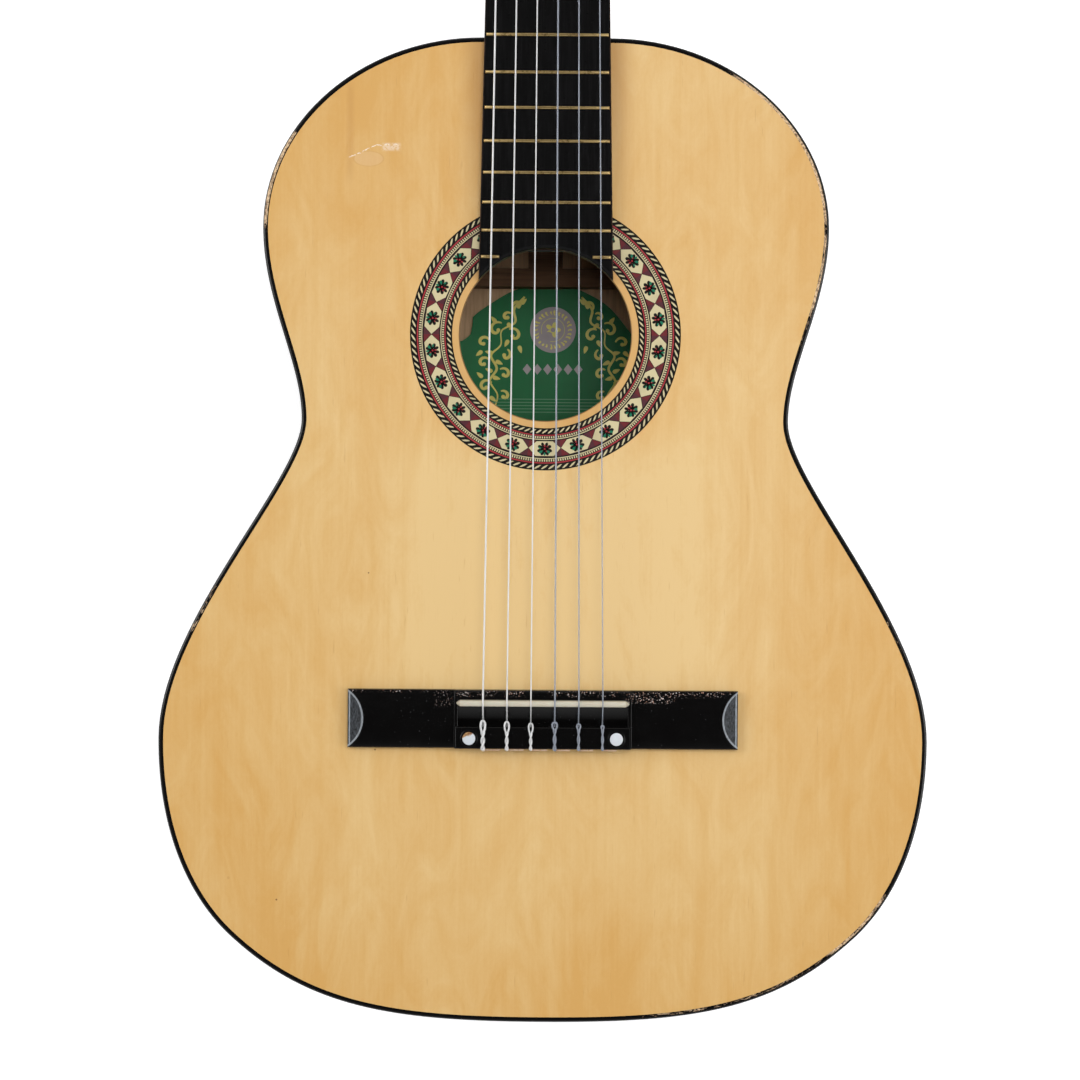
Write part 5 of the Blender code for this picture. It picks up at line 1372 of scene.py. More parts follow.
@dataclass
class StringSet:
    """Six strings from their knots on the tie block, over saddle and nut, to the rollers."""

    radii: tuple[float, ...] = (0.45, 0.38, 0.33, 0.42, 0.35, 0.31)
    spread_saddle: float = 58.0 * MM
    spread_nut: float = 43.5 * MM
    block_rear: float = -14.25 * MM
    block_front: float = -3.5 * MM
    block_top: float = 8.8 * MM
    saddle_top: float = 12.0 * MM
    nut_top: float = 7.4 * MM
    roller_depth: float = 9.5 * MM
    roller_radius: float = 5.0 * MM
    eye_reach: tuple[float, ...] = (3.1, 2.7, 2.05, 2.55, 1.8, 1.15)
    eye_length: tuple[float, ...] = (5.6, 5.3, 5.0, 3.6, 2.7, 2.0)
    eye_half: tuple[float, ...] = (1.10, 1.08, 1.0, 1.15, 0.87, 0.66)

    def build_string(self, index: int) -> None:
        """One string's long run: out of the tie block's face, over the saddle and nut, to its roller."""
        radius = self.radii[index] * MM
        number = 6 - index
        machine = Machine(number)
        x = -self.spread_saddle / 2 + self.spread_saddle * index / 5
        nut_x = -self.spread_nut / 2 + self.spread_nut * index / 5
        base = TOP_Z + GAP
        clear = radius + 0.15 * MM
        contact = head_point(machine.across, machine.station - 1.5 * MM,
                             -self.roller_depth + self.roller_radius + radius + GAP)
        top = base + self.saddle_top + clear
        over = base + self.nut_top + clear
        knots = [
            (x, BRIDGE_Y + self.block_front - 1.0 * MM, base + 4.4 * MM),
            (x, BRIDGE_Y + self.block_front + 1.6 * MM, base + 5.4 * MM),
            (x, SADDLE_Y - 2.4 * MM, top - 1.0 * MM),
            (x, SADDLE_Y - 0.3 * MM, top),
            (x, SADDLE_Y + 1.6 * MM, top),
        ]
        far = [
            (nut_x, NUT_Y - 1.0 * MM, over - 0.02 * MM),
            (nut_x, NUT_Y + 1.5 * MM, over),
            (nut_x, NUT_Y + 3.4 * MM, over - 0.25 * MM),
            tuple(contact * 0.12 + np.array([nut_x, NUT_Y + 3.4 * MM, over - 0.25 * MM]) * 0.88),
            tuple(contact),
        ]
        t = np.linspace(0, 1, 60)[1:-1, None]
        straight = np.array(knots[-1]) * (1 - t) + np.array(far[0]) * t
        path = np.concatenate([smooth_path(knots, 34), straight, smooth_path(far, 34)])
        kind = StringKind.WOUND if number > 3 else StringKind.CLEAR
        finish = WOUND if kind is StringKind.WOUND else NYLON
        add_piece(f"string_{number}_run", tube(path, radius, 12), [finish],
                  Looks(kind.value, replaces=(f"string_{number}",)))
        self.build_knot(index, x, radius, kind, finish)

    def build_knot(self, index: int, x: float, radius: float, kind: StringKind, finish: Finish) -> None:
        """The tie: one strand comes up behind the block, runs forward, goes round in an eye and comes
        back twisted round itself, and its tail lies along the block's rear edge. Across the twist the
        two strands stand on opposite ends of a turning diameter; in the eye the diameter widens."""
        number = 6 - index
        strand = radius * (1.27 if kind is StringKind.WOUND else 1.15)
        rear = BRIDGE_Y + self.block_rear
        tip = BRIDGE_Y + self.block_front + self.eye_reach[index] * MM
        eye = self.eye_length[index] * MM
        s = np.linspace(0, 1, 72)
        run = (tip - rear) * s
        left = tip - rear - run
        twist = tip - rear - eye
        turn = math.pi * 2.0 * np.clip((twist - run) / twist, 0, 1)
        bow = np.clip(left / eye, 0, 1)
        opening = np.sqrt(np.clip(1 - ((bow - 0.40) / np.where(bow < 0.40, 0.40, 0.60)) ** 2, 0, 1))
        wide = np.where(left < eye, self.eye_half[index] * MM * opening, 0)
        wide = np.where(left < eye * 0.4, wide, np.maximum(wide, strand * 1.05))
        z = TOP_Z + GAP + self.block_top + 1.05 * strand + strand * 0.8
        def strand_at(way: int) -> np.ndarray:
            """One strand of the pair, from the rear to the tip."""
            return np.stack([x + way * wide * np.cos(turn), rear + run, z + way * strand * 0.8 * np.sin(turn)], 1)
        up = smooth_path([
            (x, rear - strand, z - 4.6 * MM), (x, rear - strand * 1.3, z - 2.2 * MM),
            (x + wide[0] * 0.4, rear - strand * 0.6, z - 0.5 * MM), tuple(strand_at(1)[0])], 14)
        length = (8.6 - 0.35 * index) * MM
        wave = 0.25 * MM * math.sin(index * 2.1)
        down = smooth_path([
            tuple(strand_at(-1)[0]), (x + 0.2 * MM, rear - strand * 0.7, z - 0.5 * MM),
            (x + 0.5 * MM, rear - strand * 1.2, z - 2.0 * MM)], 12)
        tail = smooth_path([
            (x + 0.1 * MM, rear - 0.45 * MM, z - 1.6 * MM), (x + 2.6 * MM, rear - 0.4 * MM, z - 1.0 * MM + wave),
            (x + length * 0.6, rear - 0.4 * MM, z - 1.1 * MM - wave),
            (x + length, rear - 0.4 * MM, z - 1.2 * MM)], 26)
        path = np.concatenate([up[:-1], strand_at(1)[1:-1], strand_at(-1)[::-1][:-1], down])
        patches = tube(path, strand, 10, side_of=(0.12, 0.05, 0.99)) + tube(tail, 0.36 * MM, 8, finish=1)
        add_piece(f"string_{number}_knot", patches, [finish, TAIL], Looks(kind.value))

    def build(self) -> None:
        """Builds all six strings with their knots."""
        for index in range(6):
            self.build_string(index)


# ---------------------------------------------------------------- fingerboard, frets and nut

@dataclass
class Fingerboard:
    """Board with an arched end that follows the soundhole, nineteen brass frets, and the nut."""

    nut_half: float = 25.0 * MM
    joint_half: float = 30.7 * MM
    thickness: float = 5.6 * MM
    chamfer: float = 1.5 * MM
    frets: int = 19
    fret_half: float = 0.82 * MM
    fret_height: float = 1.0 * MM
    fret_inset: float = 0.9 * MM

    def half(self, y: np.ndarray) -> np.ndarray:
        """Half the board's width at y: a straight taper."""
        return self.joint_half + (self.nut_half - self.joint_half) * (y - JOINT_Y) / (NUT_Y - JOINT_Y)

    def arc(self, share: np.ndarray, radius: float) -> np.ndarray:
        """Points (x, y) of the board's end at a radius round the soundhole; share is -1 to 1 across."""
        x = share * self.half(HOLE_Y + 30 * MM)
        y = HOLE_Y + np.sqrt(np.maximum(radius ** 2 - x ** 2, 0))
        return np.stack([share * self.half(y), y], axis=1)

    def build_board(self) -> None:
        """The board as five rows joined in a ring: under the nut, under the arc, the chamfer's two
        edges and the nut's end, with a flat side at both ends of the rows."""
        share = np.linspace(-1, 1, 81)
        low, high = TOP_Z + GAP, TOP_Z + GAP + self.thickness
        nut = np.stack([share * self.half(NUT_Y - GAP), np.full(81, NUT_Y - GAP)], axis=1)
        end, inner = self.arc(share, HOLE_RADIUS), self.arc(share, HOLE_RADIUS + self.chamfer)
        rows = ((nut, low), (end, low), (end, high - 1.1 * MM), (inner, high), (nut, high), (nut, low))
        grid = np.stack([np.column_stack([row, np.full(81, z)]) for row, z in rows])
        sides = [fan(grid[:-1, 0]), fan(grid[:-1, -1])]
        add_piece("board", [Patch(grid), *sides], [BOARD],
                  Looks("fingerboard_black", replaces=("fingerboard",), bevel=0.35 * MM, smooth=30.0))

    def fret_stub(self, y: float, low: float, high: float) -> list[Patch]:
        """A fret from x = low to high: half an ellipse whose ends fall away in a quarter round."""
        angle = np.linspace(0, math.pi, 9)
        base = TOP_Z + GAP + self.thickness - 0.1 * MM
        x = np.array([low, low + 0.25 * MM, low + 0.7 * MM, high - 0.7 * MM, high - 0.25 * MM, high])
        tall = np.array([0.15, 0.72, 1.0, 1.0, 0.72, 0.15])[:, None]
        section_y = y + self.fret_half * np.cos(angle) * np.ones((6, 1))
        section_z = base + (self.fret_height + 0.1 * MM) * np.sin(angle) * tall
        return loft(np.stack([np.broadcast_to(x[:, None], section_y.shape), section_y, section_z], axis=-1))

    def build_frets(self) -> None:
        """Each fret stands at the scale length times 2 to the power of minus its number over 12."""
        for number in range(1, self.frets + 1):
            y = SADDLE_Y + SCALE_LENGTH * 2 ** (-number / 12)
            half = float(self.half(y)) - self.fret_inset
            gap = (HOLE_RADIUS + self.chamfer * 0.8) ** 2 - (y - HOLE_Y - 0.6 * MM) ** 2
            if y - HOLE_Y > HOLE_RADIUS + self.chamfer:
                patches = self.fret_stub(y, -half, half)
            else:
                edge = math.sqrt(gap)
                patches = self.fret_stub(y, -half, -edge) + self.fret_stub(y, edge, half)
            add_piece(f"fret_{number:02d}", patches, [FRET_BRASS], Looks("brass"))

    def build_nut(self) -> None:
        """Nut with a crown that slopes back to the head."""
        profile = np.array([(0.3, 0.0), (4.7, 0.0), (4.7, 6.0), (3.9, 6.9), (3.1, 7.4), (1.0, 7.42), (0.3, 7.2)])
        x = np.array([-1.0, 1.0])[:, None] * self.nut_half
        y = NUT_Y + profile[None, :, 0] * MM
        z = TOP_Z + GAP + profile[None, :, 1] * MM
        points = np.stack(np.broadcast_arrays(x, y, z), axis=-1)
        add_piece("nut_bar", loft(points), [CREAM],
                  Looks("cream_plastic", replaces=("nut",), bevel=0.35 * MM, bevel_steps=3, smooth=30.0))

    def build(self) -> None:
        """Builds board, frets and nut."""
        self.build_board()
        self.build_frets()
        self.build_nut()


# ---------------------------------------------------------------- label

GOLD_INK = (0.74, 0.66, 0.13)
LABEL_GREEN = (0.008, 0.165, 0.048)
MAUVE = (0.36, 0.31, 0.31)
PALE_INK = (0.13, 0.34, 0.17)
GREY_INK = (0.40, 0.36, 0.36)


@dataclass
class Label:
    """Oval paper label on the back: green, with scrolls on both sides, a pale medallion, a row of
    lozenges and five thin lines. Places on it are (x, station from the tail) in millimetres."""

    centre: tuple[float, float] = (1.0, 312.5)
    half: tuple[float, float] = (54.0, 58.0)
    medallion: tuple[float, float] = (4.1, 346.6)
    lift: float = 1.6

    def height(self, x: np.ndarray, station: np.ndarray) -> np.ndarray:
        """Height of the paper above the back: flat, with its left edge curling up as a square law."""
        curl = np.clip((-30.0 - x) / 22.0, 0, 1) ** 2 * np.clip((station - 300.0) / 30.0, 0, 1)
        wave = 0.10 * np.sin(x * 0.12) * np.sin(station * 0.09)
        return 4.3 + self.lift * curl + wave

    def place(self, x: np.ndarray, station: np.ndarray, level: int = 0) -> np.ndarray:
        """Points on the paper, on one of its thin layers."""
        x, station = np.broadcast_arrays(x, station)
        return np.stack([x * MM, TAIL_Y + station * MM, (self.height(x, station) + 0.012 * level) * MM], axis=-1)

    def sheet(self) -> Patch:
        """The paper: rings of an oval whose edge wavers, with a torn notch at the upper left."""
        angle = np.linspace(0, TAU, 181)
        edge = 1 + 0.008 * np.sin(5 * angle + 1) + 0.005 * np.sin(13 * angle + 2)
        notch = 0.085 * np.clip(1 - np.abs(angle - 2.52) / 0.13, 0, 1) ** 0.5
        tear = 0.050 * np.clip(1 - np.abs(angle - 2.76) / 0.10, 0, 1)
        edge = edge - notch - tear * (0.6 + 0.4 * np.sin(angle * 60))
        share = np.linspace(0, 1, 28)[:, None]
        x = self.centre[0] + self.half[0] * share * edge * np.cos(angle)
        station = self.centre[1] + self.half[1] * share * edge * np.sin(angle)
        return Patch(self.place(x, station), tint=LABEL_GREEN)

    def ribbon(self, path: np.ndarray, width: np.ndarray, tint: Colour, level: int) -> Patch:
        """A flat strip along a path of (x, station), half its width to each side of it."""
        along = np.gradient(path, axis=0)
        along /= np.linalg.norm(along, axis=1, keepdims=True) + 1e-9
        side = np.stack([along[:, 1], -along[:, 0]], axis=1) * np.asarray(width)[:, None] / 2
        both = np.stack([path + side, path - side])
        return Patch(self.place(both[..., 0], both[..., 1], level), tint=tint)

    def curl(self, x: float, station: float, size: float, start: float, sweep: float, way: int) -> list[Patch]:
        """A scroll: an arc whose radius shrinks evenly to a fifth, thick in the middle, with a ball.

        Args:
            x: centre, across from the medallion's line.
            station: centre along the guitar.
            size: first radius.
            start: first angle.
            sweep: how far it turns.
            way: 1 for the right side, -1 for its mirror image.
        Returns:
            The ribbon and the ball.
        """
        t = np.linspace(0, 1, 26)
        angle = start + sweep * t
        radius = size * (1 - 0.8 * t)
        path = np.stack([self.medallion[0] + way * (x + radius * np.cos(angle)), station + radius * np.sin(angle)], 1)
        width = 0.75 + 0.95 * np.sin(math.pi * np.clip(t, 0, 1)) ** 0.8
        ball = np.linspace(0, TAU, 12, endpoint=False)
        dot = self.place(path[-1, 0] + 1.05 * np.cos(ball), path[-1, 1] + 1.05 * np.sin(ball), 2)
        return [self.ribbon(path, width, GOLD_INK, 1), fan(dot, tint=GOLD_INK)]

    def leaf(self, x: float, station: float, turn: float, way: int) -> Patch:
        """A pointed leaf on a scroll's stem."""
        t = np.linspace(0, TAU, 14, endpoint=False)
        a, b = 2.1 * np.cos(t), 1.05 * np.sin(t) * (1 - 0.5 * np.cos(t))
        across = x + a * math.cos(turn) - b * math.sin(turn)
        along = station + a * math.sin(turn) + b * math.cos(turn)
        return fan(self.place(self.medallion[0] + way * across, along, 2), tint=GOLD_INK)

    def scrolls(self) -> list[Patch]:
        """Both side ornaments: a waving stem with curls on alternate sides."""
        patches = []
        stem = smooth_path([(15.0, 364.0, 0), (20.5, 357.5, 0), (20.0, 350.5, 0), (27.0, 346.0, 0),
                            (27.5, 338.5, 0), (32.5, 333.0, 0), (29.5, 326.0, 0), (33.0, 319.5, 0),
                            (29.0, 312.0, 0), (31.0, 304.0, 0)], 120)[:, :2]
        width = 1.05 + 0.3 * np.sin(np.linspace(0, 12, 120))
        rows = ((18.6, 359.2, 3.0, -0.6, 4.6), (24.2, 353.4, 2.6, 2.4, -4.4), (29.6, 346.6, 4.3, 2.2, -5.0),
                (20.6, 343.6, 4.0, 0.9, 4.9), (25.0, 333.2, 3.2, 1.9, 4.3), (36.6, 339.8, 3.6, 3.0, -4.6),
                (36.4, 329.0, 3.4, 2.7, -4.6), (25.4, 323.2, 3.4, 0.8, 4.6), (35.4, 316.6, 3.8, 2.6, -4.8),
                (25.6, 311.6, 3.0, 1.0, 4.5), (35.8, 306.4, 3.0, 2.6, -4.4))
        leaves = ((15.5, 361.5, 2.4), (22.6, 348.6, 3.9), (17.2, 336.2, 4.4), (31.2, 351.8, 0.9), (33.6, 334.6, 0.2),
                  (28.2, 329.2, 3.6), (38.4, 322.6, 0.7), (29.6, 321.0, 3.4), (31.4, 310.0, 3.8), (24.4, 339.4, 5.2),
                  (33.6, 325.2, 0.4), (38.8, 334.0, 5.6))
        for way in (-1, 1):
            path = stem * (way, 1) + (self.medallion[0], 0)
            patches.append(self.ribbon(path, width, GOLD_INK, 1))
            for row in rows:
                patches += self.curl(*row, way)
            patches += [self.leaf(*row, way) for row in leaves]
        return patches

    def medallion_marks(self) -> list[Patch]:
        """Pale disc with a ring of short gold strokes, a thin gold ring and a small gold rosette."""
        angle = np.linspace(0, TAU, 48, endpoint=False)
        x, station = self.medallion

        def disc(radius: np.ndarray, turn: np.ndarray, level: int) -> np.ndarray:
            """Points round the medallion's middle."""
            return self.place(x + radius * np.cos(turn), station + radius * np.sin(turn), level)

        patches = [fan(disc(12.1 + 0 * angle, angle, 2), tint=MAUVE)]
        count = 26
        middle = np.arange(count) * TAU / count
        wobble = np.sin(np.arange(count) * 2.4)
        shape = np.array([(-0.55, -0.9), (0.15, -0.9), (0.6, 0.3), (0.35, 1.0), (-0.35, 0.8), (-0.1, -0.1)])
        turn = middle[:, None] + (1.25 * shape[None, :, 0] + 0.25 * wobble[:, None]) / 9.0
        radius = 9.0 + shape[None, :, 1] * (1.15 + 0.3 * wobble[:, None])
        patches.append(fan(disc(radius, turn, 3), tint=GOLD_INK))
        ring = np.linspace(0, TAU, 61)
        patches.append(Patch(disc(np.array([[6.3], [6.05]]), ring[None, :], 3), tint=GOLD_INK))
        petals = 4.2 * (0.35 + 0.65 * np.abs(np.cos(2.5 * angle)))
        patches.append(fan(disc(petals, angle, 3), tint=GOLD_INK))
        patches.append(fan(disc(1.2 + 0 * angle, angle, 4), tint=MAUVE))
        return patches

    def lozenges(self) -> list[Patch]:
        """A plain row of upright lozenges below the medallion."""
        middle = np.linspace(-9.4, 17.6, 6)[:, None]
        shape = np.array([(-2.3, 0.0), (0.0, 2.9), (2.3, 0.0), (0.0, -2.9)])
        return [fan(self.place(middle + shape[:, 0], 325.8 + shape[:, 1] + 0 * middle, 2), tint=GREY_INK)]

    def lines(self) -> list[Patch]:
        """Five thin lines across the lower part."""
        x = np.linspace(-34.0, 38.0, 30)
        return [self.ribbon(np.stack([x, np.full(30, station)], 1), np.full(30, 0.4), PALE_INK, 1)
                for station in (303.2, 304.9, 306.6, 308.3, 310.0)]

    def build(self) -> None:
        """Builds the label as one layered sheet."""
        patches = [self.sheet(), *self.scrolls(), *self.medallion_marks(), *self.lozenges(), *self.lines()]
        add_piece("label_sheet", patches, [PRINT], Looks("label_paper", replaces=("label",), sheet=True))


# ---------------------------------------------------------------- neck and head

@dataclass
class Neck:
    """Carved neck: a D-shaped shaft that deepens into the heel, with a cap under the heel."""

    nut_half: float = 25.0 * MM
    joint_half: float = 30.7 * MM
    depth_nut: float = 15.5 * MM
    depth_heel: float = 18.5 * MM
    heel_run: float = 62.0 * MM
    cap_half: float = 11.0 * MM
    heel_depth: float = 92.0 * MM

    def sections(self) -> np.ndarray:
        """Sections along the neck. A section runs down from the board's edge as a sine: the shaft's
        width falls as (1 - fall^2.6)^0.45, the heel's as a power of what is left, and the two blend
        over the heel's run."""
        rows = 26
        near = JOINT_Y + GAP + self.heel_run * np.linspace(0, 1, 34) ** 1.3
        far = np.linspace(JOINT_Y + self.heel_run, NUT_Y + 5.0 * MM, 24)[1:]
        y = np.concatenate([near, far])[:, None]
        run = (y - JOINT_Y) / (NUT_Y - JOINT_Y)
        heel = np.clip(1 - (y - JOINT_Y) / self.heel_run, 0, 1) ** 2.6
        shaft = self.depth_heel + (self.depth_nut - self.depth_heel) * run
        depth = shaft + (self.heel_depth - shaft) * heel
        half = self.joint_half + (self.nut_half - self.joint_half) * np.minimum(run, 1)
        fall = np.sin(np.linspace(0, math.pi / 2, rows))[None, :]
        shape = np.maximum(2.0 * MM, half * np.maximum(1 - fall ** 2.6, 0) ** 0.45)
        taper = (1 - fall) ** 1.7
        narrow = half * taper + self.cap_half * (1 - taper)
        width = shape + (narrow - shape) * np.minimum(1, heel * 3)
        z = TOP_Z - depth * fall
        back = np.tan(HEAD_TILT) * (TOP_Z - z) * np.clip((y - NUT_Y + 20 * MM) / (25 * MM), 0, 1)
        y = np.broadcast_to(y, z.shape) - back
        right = np.stack([width, y, z], axis=-1)
        return np.concatenate([right, right[:, ::-1] * (-1, 1, 1)], axis=1)

    def build(self) -> None:
        """Builds the neck and the heel's cap."""
        add_piece("neck_carved", loft(self.sections()), [NECK_WOOD],
                  Looks("neck_wood", replaces=("neck",), smooth=45.0))
        y = np.linspace(0.4, 7.2, 9) * MM + JOINT_Y
        share = np.clip((y - JOINT_Y) / (7.5 * MM), 0, 1)
        half = (self.cap_half - 0.3 * MM) * np.sqrt(1 - share ** 2.4)
        z = np.array([3.5, 1.6])[:, None] * MM
        ring_x = np.concatenate([half, -half[::-1]])
        ring_y = np.concatenate([y, y[::-1]])
        points = np.stack(np.broadcast_arrays(ring_x[None], ring_y[None], z), axis=-1)
        add_piece("heel_cap", loft(points), [LACQUER], Looks("black_lacquer", bevel=0.4 * MM))


def softened(node: str, finish: Finish, looks: Looks) -> bpy.types.Object:
    """A copy of a frame node with its points merged, flat faces joined and its edges eased.

    Args:
        node: the frame node.
        finish: its finish.
        looks: body and the width of the eased edges.
    Returns:
        The new piece.
    """
    import bmesh
    work = bmesh.new()
    work.from_mesh(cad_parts[node].data)
    bmesh.ops.remove_doubles(work, verts=work.verts, dist=2e-6)
    bmesh.ops.dissolve_limit(work, angle_limit=math.radians(1.0), verts=work.verts, edges=work.edges)
    bmesh.ops.recalc_face_normals(work, faces=work.faces)
    mesh = bpy.data.meshes.new(node + "_piece")
    work.to_mesh(mesh)
    work.free()
    mesh.materials.clear()
    mesh.materials.append(finish.material())
    mesh.polygons.foreach_set("material_index", np.zeros(len(mesh.polygons), np.int32))
    mesh.shade_smooth()
    mesh.set_sharp_from_angle(angle=math.radians(looks.smooth))
    obj = bpy.data.objects.new(node + "_piece", mesh)
    bpy.context.scene.collection.objects.link(obj)
    modifier = obj.modifiers.new("edge", "BEVEL")
    modifier.width = looks.bevel
    modifier.segments = looks.bevel_steps
    modifier.limit_method = "ANGLE"
    modifier.angle_limit = math.radians(looks.smooth)
    modifier.harden_normals = True
    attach(obj, looks.body)
    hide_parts(node)
    LOG.info("%s: softened", node)
    return obj


@dataclass
class Tuners:
    """The slotted head with its veneer, the two machine plates and the six machines."""

    roller_depth: float = 9.5
    gear_u: float = 39.9
    plate_face: float = 36.5
    centre_distance: float = 7.65
    lead: float = 0.75 * math.pi
    core: float = 1.6
    crest: float = 2.9

    def worm_place(self, machine: Machine) -> Callable:
        """Places (a, b, c) round the worm's axis: c out of the head's face."""
        return lambda a, b, c: head_point(machine.side * self.gear_u * MM + a,
                                          machine.station + self.centre_distance * MM + b,
                                          -self.roller_depth * MM + c)

    def roller_place(self, machine: Machine) -> Callable:
        """Places (a, b, c) round the roller's axis: c outwards across the head."""
        return lambda a, b, c: head_point(machine.side * c, machine.station + b, -self.roller_depth * MM + a)

    def build_worm(self, machine: Machine) -> None:
        """Worm as one turned surface: at each height and angle its radius rises from the core to the
        crest where height over lead less angle over a full turn is near a whole number."""
        c = np.linspace(-5.25, 5.25, 150)[:, None]
        angle = np.linspace(0, TAU, 36, endpoint=False)[None, :]
        phase = c / self.lead - (angle - math.pi / 2) / TAU
        off = np.abs(phase - np.round(phase))
        thread = np.clip((0.30 - off) / 0.18, 0, 1)
        inside = np.clip((1.5 * self.lead - np.abs(c)) / 0.5, 0, 1)
        radius = self.core + (self.crest - self.core) * thread * inside
        place = self.worm_place(machine)
        middle = place(radius * np.cos(angle) * MM, radius * np.sin(angle) * MM, c * MM + 0 * angle)
        stem = [(-20.4, 1.4), (-5.35, 1.4)]
        tip = [(5.35, 1.4), (7.8, 1.4), (8.0, 1.15)]
        patches = loft(middle) + turned(stem, place, 20) + turned(tip, place, 20)
        body = f"button_{machine.number}_and_worm"
        add_piece(f"worm_{machine.number}_turned", patches, [STEEL],
                  Looks("steel", body=body, replaces=(f"worm_{machine.number}",)))

    def build_button(self, machine: Machine) -> None:
        """Oval button: its section is an ellipse whose two half widths follow smooth curves along it,
        on a short brass ferrule."""
        shape = smooth_path([(0.0, 0.36, 0.70), (0.10, 0.36, 0.70), (0.22, 0.56, 0.78), (0.45, 0.94, 1.0),
                             (0.65, 1.0, 0.98), (0.85, 0.80, 0.86), (0.96, 0.50, 0.58), (1.0, 0.10, 0.14)], 44)
        angle = np.linspace(0, TAU, 36, endpoint=False)[None, :]
        along = -12.5 - 20.0 * np.clip(shape[:, :1], 0, 1)
        place = self.worm_place(machine)
        points = place(3.75 * np.clip(shape[:, 2:], 0.05, 1) * np.sin(angle) * MM,
                       7.4 * np.clip(shape[:, 1:2], 0.05, 1) * np.cos(angle) * MM, along * MM + 0 * angle)
        body = f"button_{machine.number}_and_worm"
        add_piece(f"button_{machine.number}_moulded", loft(points), [PEARL],
                  Looks("white_plastic", body=body, replaces=(f"button_{machine.number}",)))
        collar = [(-12.9, 1.5), (-12.9, 2.3), (-12.45, 2.6), (-11.9, 2.5), (-11.6, 1.9), (-11.6, 1.5)]
        add_piece(f"ferrule_{machine.number}", turned(collar, place, 24), [BRASS], Looks("brass", body=body))

    def build_roller(self, machine: Machine, radius: float, finish: Finish) -> None:
        """Roller turned with rounded shoulders, and the string's turns wound round it."""
        number = machine.number
        body = f"roller_{number}_and_gear"
        place = self.roller_place(machine)
        profile = [(2.6, 0.2), (2.6, 2.5), (3.0, 2.95), (7.4, 3.0), (7.45, 4.7), (7.8, 5.0), (20.3, 5.0), (33.2, 5.0),
                   (33.5, 4.7), (33.6, 3.0), (38.05, 3.0), (38.1, 2.0), (41.6, 2.0), (41.8, 1.8)]
        add_piece(f"roller_{number}_turned", turned(profile, place, 36), [ROLLER],
                  Looks("roller_plastic", body=body, replaces=(f"roller_{number}",)))
        turns = 3.2
        t = np.linspace(0, 1, 110)
        angle = 1.75 - t * turns * TAU
        pitch = 2.15 * radius
        start = abs(machine.across) / MM
        c = start - 0.3 + pitch * turns * t * (-1 if start > 14 else 1)
        r = 5.0 + radius
        path = place(r * np.sin(angle) * MM, r * np.cos(angle) * MM, c * MM)
        add_piece(f"winding_{number}", tube(path, radius * MM, 8, side_of=(1, 0, 0)), [finish],
                  Looks(finish.name, body=body))
        screw = [(41.75, 1.95), (42.15, 1.9), (42.35, 1.5), (42.4, 0.1)]
        add_piece(f"wheel_screw_{number}", turned(screw, place, 24), [STEEL], Looks("steel", body=body))

    def build_plate_screws(self, side: int, word: str) -> None:
        """Domed screws with a slot along the machine plate."""
        patches = []
        for v in (40.0, 67.5, 102.5, 139.0):
            def place(a: np.ndarray, b: np.ndarray, c: np.ndarray, v: float = v) -> np.ndarray:
                """Round the screw's axis."""
                return head_point(side * c, v * MM + b, -self.roller_depth * MM + a)
            face = self.plate_face
            patches += turned([(face - 0.5, 1.6), (face + 0.2, 1.6), (face + 0.62, 1.3), (face + 0.82, 0.8),
                               (face + 0.86, 0.05)], place, 20)
        add_piece(f"plate_screws_{word}", patches, [BRASS], Looks("brass"))

    def build(self) -> None:
        """Builds the head's pieces and all six machines."""
        softened("head", NECK_WOOD, Looks("neck_wood", bevel=0.8 * MM, bevel_steps=3, smooth=50.0))
        softened("head_veneer", LACQUER, Looks("black_lacquer", bevel=0.35 * MM, smooth=50.0))
        radii = StringSet().radii
        for side, word in ((-1, "bass"), (1, "treble")):
            softened(f"machine_plate_{word}", BRASS, Looks("brass", bevel=0.18 * MM, smooth=35.0))
            self.build_plate_screws(side, word)
        for number in range(6, 0, -1):
            machine = Machine(number)
            softened(f"gear_{number}", BRASS,
                     Looks("brass", body=f"roller_{number}_and_gear", bevel=0.10 * MM, smooth=30.0))
            self.build_worm(machine)
            self.build_button(machine)
            self.build_roller(machine, radii[6 - number], WOUND if number > 3 else NYLON)


@dataclass
class EndPin:
    """Turned strap pin in the tail: a domed button on a waisted neck over a flange."""

    def build(self) -> None:
        """Builds the pin."""
        low, high = node_box("end_pin")
        z = float(low[2] + high[2]) / 2
        profile = [(-9.0, 0.1), (-8.9, 1.6), (-8.4, 3.6), (-7.5, 5.2), (-6.6, 5.9), (-6.1, 6.0), (-5.5, 5.8),
                   (-4.6, 4.9), (-3.9, 3.9), (-3.2, 3.45), (-2.6, 3.4), (-2.0, 3.9), (-1.4, 4.8), (-0.8, 5.0),
                   (-0.3, 5.0), (-0.2, 3.3), (18.0, 2.8)]

        def place(a: np.ndarray, b: np.ndarray, c: np.ndarray) -> np.ndarray:
            """Round the pin's axis, which runs along the guitar."""
            return np.stack([a, TAIL_Y + c, z + b], axis=-1)

        add_piece("end_pin_turned", turned(profile, place, 40), [WHITE],
                  Looks("white_plastic", replaces=("end_pin",)))


# ---------------------------------------------------------------- studio

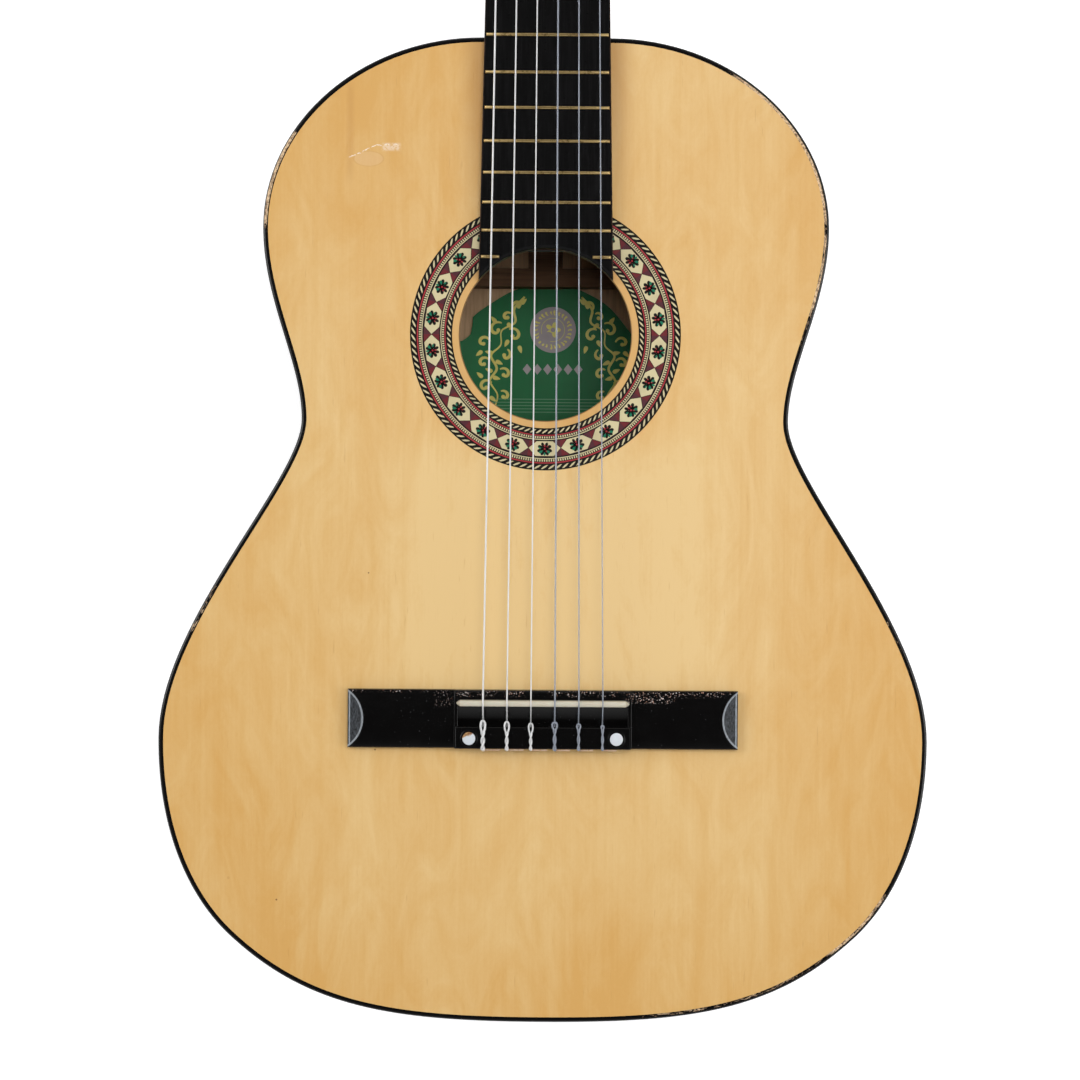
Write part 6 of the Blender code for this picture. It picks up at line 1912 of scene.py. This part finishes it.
@dataclass
class Studio:
    """Pale floor, soft lights and a camera that looks straight down on the body."""

    height: float = 1.15
    field: float = 0.5278
    centre_x: float = -1.95 * MM
    centre_station: float = 235.8 * MM
    roll: float = math.radians(0.4)
    sky: float = 0.46
    zenith: float = 0.03

    def build_floor(self) -> None:
        """A wide pale floor that glows a little, so that it stays even right up to the object."""
        mesh = bpy.data.meshes.new("floor")
        mesh.from_pydata([(-30, -30, 0), (30, -30, 0), (30, 30, 0), (-30, 30, 0)], [], [(0, 1, 2, 3)])
        floor = bpy.data.objects.new("floor", mesh)
        bench = Bench("studio_floor")
        bench.give(Base_Color=(0.86, 0.86, 0.86), Roughness=0.9, Emission_Color=(1.0, 1.0, 1.0),
                   Emission_Strength=0.62)
        mesh.materials.append(bench.material)
        bpy.context.scene.collection.objects.link(floor)

    def light(self, name: str, place: tuple[float, float, float], size: float,
              power: float) -> bpy.types.Object:
        """A square soft light aimed at the body's middle.

        Args:
            name: the light's name.
            place: where it hangs.
            size: its side in metres.
            power: its power in watts.
        Returns:
            The light's object.
        """
        from mathutils import Vector
        lamp = bpy.data.lights.new(name, "AREA")
        lamp.shape = "SQUARE"
        lamp.size = size
        lamp.energy = power
        obj = bpy.data.objects.new(name, lamp)
        obj.location = place
        aim = Vector((0.0, TAIL_Y + 0.25, TOP_Z)) - Vector(place)
        obj.rotation_euler = aim.to_track_quat("-Z", "Y").to_euler()
        bpy.context.scene.collection.objects.link(obj)
        return obj

    def build_sky(self) -> None:
        """A white sky that fades to dark overhead, where the camera hangs."""
        world = bpy.data.worlds.new("studio")
        world.use_nodes = True
        tree = world.node_tree
        way = tree.nodes.new("ShaderNodeTexCoord")
        parts = tree.nodes.new("ShaderNodeSeparateXYZ")
        tree.links.new(way.outputs["Generated"], parts.inputs[0])
        bright = Field(tree, parts.outputs[2]).rise(0.93, 0.55) * self.sky + self.zenith
        back = tree.nodes["Background"]
        back.inputs["Color"].default_value = (1.0, 1.0, 1.0, 1.0)
        feed(back.inputs["Strength"], bright)
        bpy.context.scene.world = world

    def build_camera(self) -> None:
        """Camera above the body: its lens makes the square frame `field` wide at the soundboard."""
        camera = bpy.data.cameras.new("camera")
        camera.sensor_width = 36.0
        camera.lens = 36.0 * self.height / self.field
        camera.clip_start = 0.01
        camera.clip_end = 50.0
        obj = bpy.data.objects.new("camera", camera)
        obj.location = (self.centre_x, TAIL_Y + self.centre_station, TOP_Z + self.height)
        obj.rotation_euler = (0.0, 0.0, self.roll)
        bpy.context.scene.collection.objects.link(obj)
        bpy.context.scene.camera = obj

    def build(self) -> None:
        """Builds the floor, the lights, the sky and the camera."""
        self.build_floor()
        self.light("key", (-1.7, 0.35, 1.55), 1.3, 17.0)
        self.light("fill", (1.75, -0.45, 1.55), 1.3, 13.0)
        self.light("overhead", (0.30, 0.05, 2.05), 1.0, 19.0).visible_glossy = False
        self.build_sky()
        bpy.context.scene.view_settings.view_transform = "Standard"
        self.build_camera()


# ---------------------------------------------------------------- the guitar

def main() -> None:
    """Builds every part of the guitar in order, then the studio."""
    logging.basicConfig(level=logging.INFO, format="%(message)s")
    for part in (Body(), Label(), Rosette(), Bridge(), StringSet(), Fingerboard(), Neck(), Tuners(), EndPin(),
                 Studio()):
        part.build()


if __name__ == "__main__":
    main()
